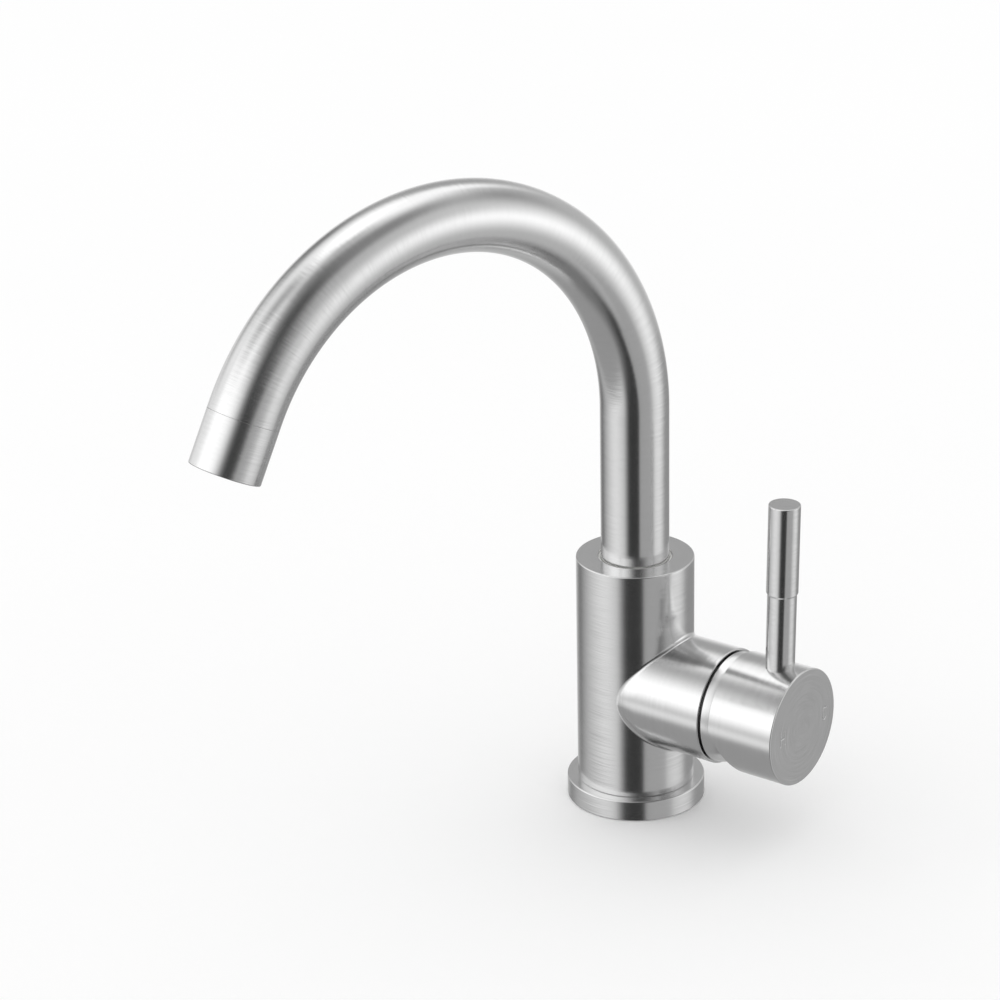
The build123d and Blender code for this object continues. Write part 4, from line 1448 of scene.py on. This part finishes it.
    def lever_place(self) -> Placement:
        """Frame of the lever, which leans slightly outwards."""
        c, s = cos(self.lean), sin(self.lean)
        foot = (self.face - self.lever_inset, 0, self.housing.height)
        return Placement(foot, (0, 1, 0), (-c, 0, s), (s, 0, c))

    def build_lever(self) -> None:
        """Builds the lever: slim rod, short cone, thicker grip with rounded ends."""
        rod, grip = self.rod_radius, self.grip_radius
        reach = (self.lever_tip - self.housing.height - grip * sin(self.lean)) / cos(self.lean)
        start = reach - self.grip_length
        seat = sqrt(self.cap_radius**2 - rod**2)
        below, above = self.grip_edges
        outline = Outline.rounded((
            (0, seat),
            (rod, seat),
            (rod, start, below),
            (grip, start + self.grip_step, above),
            (grip, reach, self.edge),
            (0, reach),
        ))
        rod_wall = lathe(outline, self.lever_place(), turns(self.lever_columns), offset=0.5)
        Skin("lever_rod", rod_wall).build(STEEL, Body.HANDLE, "handle_lever")

    def build_bonnet(self) -> None:
        """Builds the ball-shaped bonnet about the pivot, hollow inside."""
        low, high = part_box("bonnet_dome")
        ball, (outer_cells, inner_cells) = self.hollow_radius() - self.gap, self.bonnet_cells
        start, end, inner = low.x - self.reach_back, high.x, ball - self.bonnet_wall
        mouth = sqrt(ball**2 - (end - self.pivot) ** 2)
        opening = mouth - self.bonnet_lip
        foot_angles = [np.arccos((start - self.pivot) / radius) for radius in (ball, inner)]
        outer = Outline.ball(self.pivot, ball, foot_angles[0], asin(mouth / ball), outer_cells)
        back = Outline.ball(self.pivot, inner, asin(opening / inner), foot_angles[1], inner_cells, True)
        foot = Outline.rounded((back.points[-1], outer.points[0]))
        lip = Outline.rounded((outer.points[-1], (opening, end), back.points[0]))
        dome = lathe(
            foot.joined(outer, lip, back), self.housing.place(), turns(self.bonnet_columns), offset=0.9
        )
        Skin("bonnet", dome).build(STEEL, Body.COLUMN, "bonnet_dome")


# The studio


class Shape(Enum):
    """How a light panel is bounded."""

    BOX = "box"
    OVAL = "oval"


@dataclass(frozen=True)
class Panel:
    """A panel of the studio, seen from the tap. Angles are in degrees.

    Attributes:
        azimuth: from the side the photograph was taken from, positive to its right.
        elevation: above the horizon.
        half_width: half its width in azimuth.
        half_height: half its height in elevation.
        soft: width of its soft edge.
        level: its brightness, where 1 is white.
        shape: its outline.
    """

    azimuth: float
    elevation: float
    half_width: float
    half_height: float
    soft: float
    level: float
    shape: Shape = Shape.OVAL


@dataclass
class Studio:
    """Camera, floor and the panels that the metal shows."""

    yaw: float = radians(37.111)
    pitch: float = radians(22.245)
    roll: float = radians(-1.159)
    eye: tuple[float, float, float] = (0.641464, -0.928811, 0.579902)
    focal_pixels: float = 3364.21
    frame_pixels: float = 1000.0
    sensor: float = 36.0
    floor_radii: tuple[float, float] = (0.05, 6.0)
    floor_cells: tuple[int, int] = (24, 64)
    walls: float = 0.53
    panels: tuple[Panel, ...] = (
        Panel(195, 70, 80, 24, 42, 1.45),
        Panel(-92, 14, 58, 18, 26, 1.45),
        Panel(-84, -35, 44, 17, 18, 1.3),
        Panel(-3, 56, 106, 18, 13, 0.25),
        Panel(15, -78, 145, 20, 24, 0.21, Shape.BOX),
        Panel(11, 20, 23, 36, 34, 0.03),
        Panel(-3, -26, 27, 38, 22, 0.04, Shape.BOX),
        Panel(37, -25, 24, 22, 5, 0.4, Shape.BOX),
        Panel(83, 3, 22, 21, 46, 1.36),
        Panel(-137, 18, 31, 16, 12, 0.04),
        Panel(-168, -22, 58, 8, 14, 0.05),
        Panel(182, -15, 20, 13, 36, 1.15),
        Panel(135, -33, 28, 18, 14, 0.31),
        Panel(119, 35, 12, 8, 36, 0.24),
        Panel(-118, 18, 24, 22, 50, 1),
        Panel(67, 24, 24, 9, 46, 0.54),
        Panel(-54, 36, 16, 22, 58, 1.3),
        Panel(-95, -53, 78, 28, 20, 0.34),
        Panel(158, 50, 13, 28, 14, 1.2),
        Panel(178, 25, 22, 14, 16, 0.4),
    )

    def build_camera(self) -> None:
        """Sets the camera as the photograph's outlines give it."""
        camera = bpy.data.cameras.new("camera")
        camera.sensor_width = self.sensor
        camera.lens = self.focal_pixels / self.frame_pixels * self.sensor
        camera.clip_start, camera.clip_end = 0.01, 40.0
        seen = bpy.data.objects.new("camera", camera)
        turn = Euler((pi / 2 - self.pitch, 0, self.yaw)).to_matrix() @ Euler((0, 0, self.roll)).to_matrix()
        seen.matrix_world = turn.to_4x4()
        seen.location = self.eye
        bpy.context.scene.collection.objects.link(seen)
        bpy.context.scene.camera = seen

    def build_floor(self) -> None:
        """A pale round floor, whose cells grow outwards, that mirrors don't see."""
        rings = np.geomspace(*self.floor_radii, self.floor_cells[0])[:, None]
        local = polar(turns(self.floor_cells[1]), rings)
        points = np.concatenate((0 * local[:1], local))
        mesh = bpy.data.meshes.new("floor")
        patch = Patch(points, np.broadcast_to(UP, points.shape), points)
        mesh.from_pydata(points.reshape(-1, 3).tolist(), [], patch.cells().tolist())
        mesh.validate()
        floor = bpy.data.objects.new("floor", mesh)
        bpy.context.scene.collection.objects.link(floor)
        floor.visible_glossy = False
        material = bpy.data.materials.new("floor_white")
        shader = Shader(material)
        tone = shader.noise(shader.place(), 3.0)
        colour = shader.mix(tone, (0.985, 0.985, 0.985, 1), (1.0, 1.0, 1.0, 1))
        shader.surface({"Base Color": colour, "Roughness": 1.0, "Specular IOR Level": 0.0})
        mesh.materials.append(material)

    def mask(self, shader: Shader, panel: Panel, direction: bpy.types.NodeSocket, elevation: Value) -> Value:
        """How much of a panel a direction sees, from 0 to 1.

        Args:
            shader: the world's tree.
            panel: the panel.
            direction: the direction looked in.
            elevation: its elevation in degrees.

        Returns:
            The share.
        """
        centre = self.yaw - pi / 2 + radians(panel.azimuth)
        ahead = shader.dot(direction, (cos(centre), sin(centre), 0))
        beside = shader.dot(direction, (-sin(centre), cos(centre), 0))
        away = abs(beside.math("ARCTAN2", ahead)) * (180 / pi)
        above = abs(elevation - panel.elevation)
        if panel.shape is Shape.BOX:
            inside = (panel.half_width - away).math("MINIMUM", panel.half_height - above)
        else:
            reach = ((away / panel.half_width) ** 2 + (above / panel.half_height) ** 2) ** 0.5
            inside = (1 - reach) * min(panel.half_width, panel.half_height)
        return inside.step(-panel.soft / 2, panel.soft / 2)

    def build_world(self) -> None:
        """The studio round the tap: white to the camera and to matt surfaces, panels to mirrors."""
        world = bpy.data.worlds.new("studio")
        bpy.context.scene.world = world
        world.cycles.sampling_method = "NONE"
        shader = Shader(world)
        direction = shader.node("ShaderNodeTexCoord").outputs["Generated"]
        elevation = shader.dot(direction, (0, 0, 1)).math("ARCSINE") * (180 / pi)
        level: Value | float = self.walls
        for panel in self.panels:
            mask = self.mask(shader, panel, direction, elevation)
            level = level + mask * (panel.level - level)
        path = shader.node("ShaderNodeLightPath")
        mirrored = Value(shader, path.outputs["Is Glossy Ray"])
        strength = 1 + mirrored * (level - 1)
        light = shader.node("ShaderNodeBackground", None, {"Color": (1, 1, 1, 1), "Strength": strength})
        shader.node("ShaderNodeOutputWorld", None, {"Surface": light.outputs[0]})

    def build(self) -> None:
        """Builds the whole studio."""
        self.build_camera()
        self.build_floor()
        self.build_world()
        bpy.context.scene.view_settings.view_transform = "Standard"


def dress_frame() -> None:
    """Gives every CAD node its finish in place of the plain one that it came with."""
    for name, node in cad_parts.items():
        finish = FINISHES[node.data.materials[0].name.split(".")[0]]
        if finish is STEEL:
            finish = PLAIN_STEEL
        node.material_slots[0].material = finish.material()
        log.info("%s: %s", name, finish.name)


def main() -> None:
    """Builds the studio, the visible pieces and the finishes."""
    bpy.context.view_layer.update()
    Studio().build()
    dress_frame()
    body_low, body_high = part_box("faucet_body")
    flange_low, flange_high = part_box("base_flange")
    cap_low, cap_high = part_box("handle_cap")
    lever_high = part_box("handle_lever")[1]
    tube_low, tube_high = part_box("spout_tube")
    housing = Housing(height=(cap_low.z + cap_high.z) / 2, end=body_high.x)
    Column(housing, radius=-body_low.x, top=body_high.z, foot=body_low.z, flange_top=flange_high.z).build()
    Flange(radius=flange_high.x, foot=flange_low.z, top=flange_high.z).build()
    bush_low, bush_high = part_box("top_bush")
    TopBush(outer=bush_high.x, foot=bush_low.z, top=bush_high.z).build()
    spout = Spout(top=tube_high.z, foot=tube_low.z)
    spout.build_tube()
    spout.build_collar()
    handle = Handle(housing, rim=cap_low.x, face=cap_high.x, cap_radius=cap_high.y, lever_tip=lever_high.z)
    handle.build_cap()
    handle.build_lever()
    handle.build_bonnet()


if __name__ == "__main__":
    main()
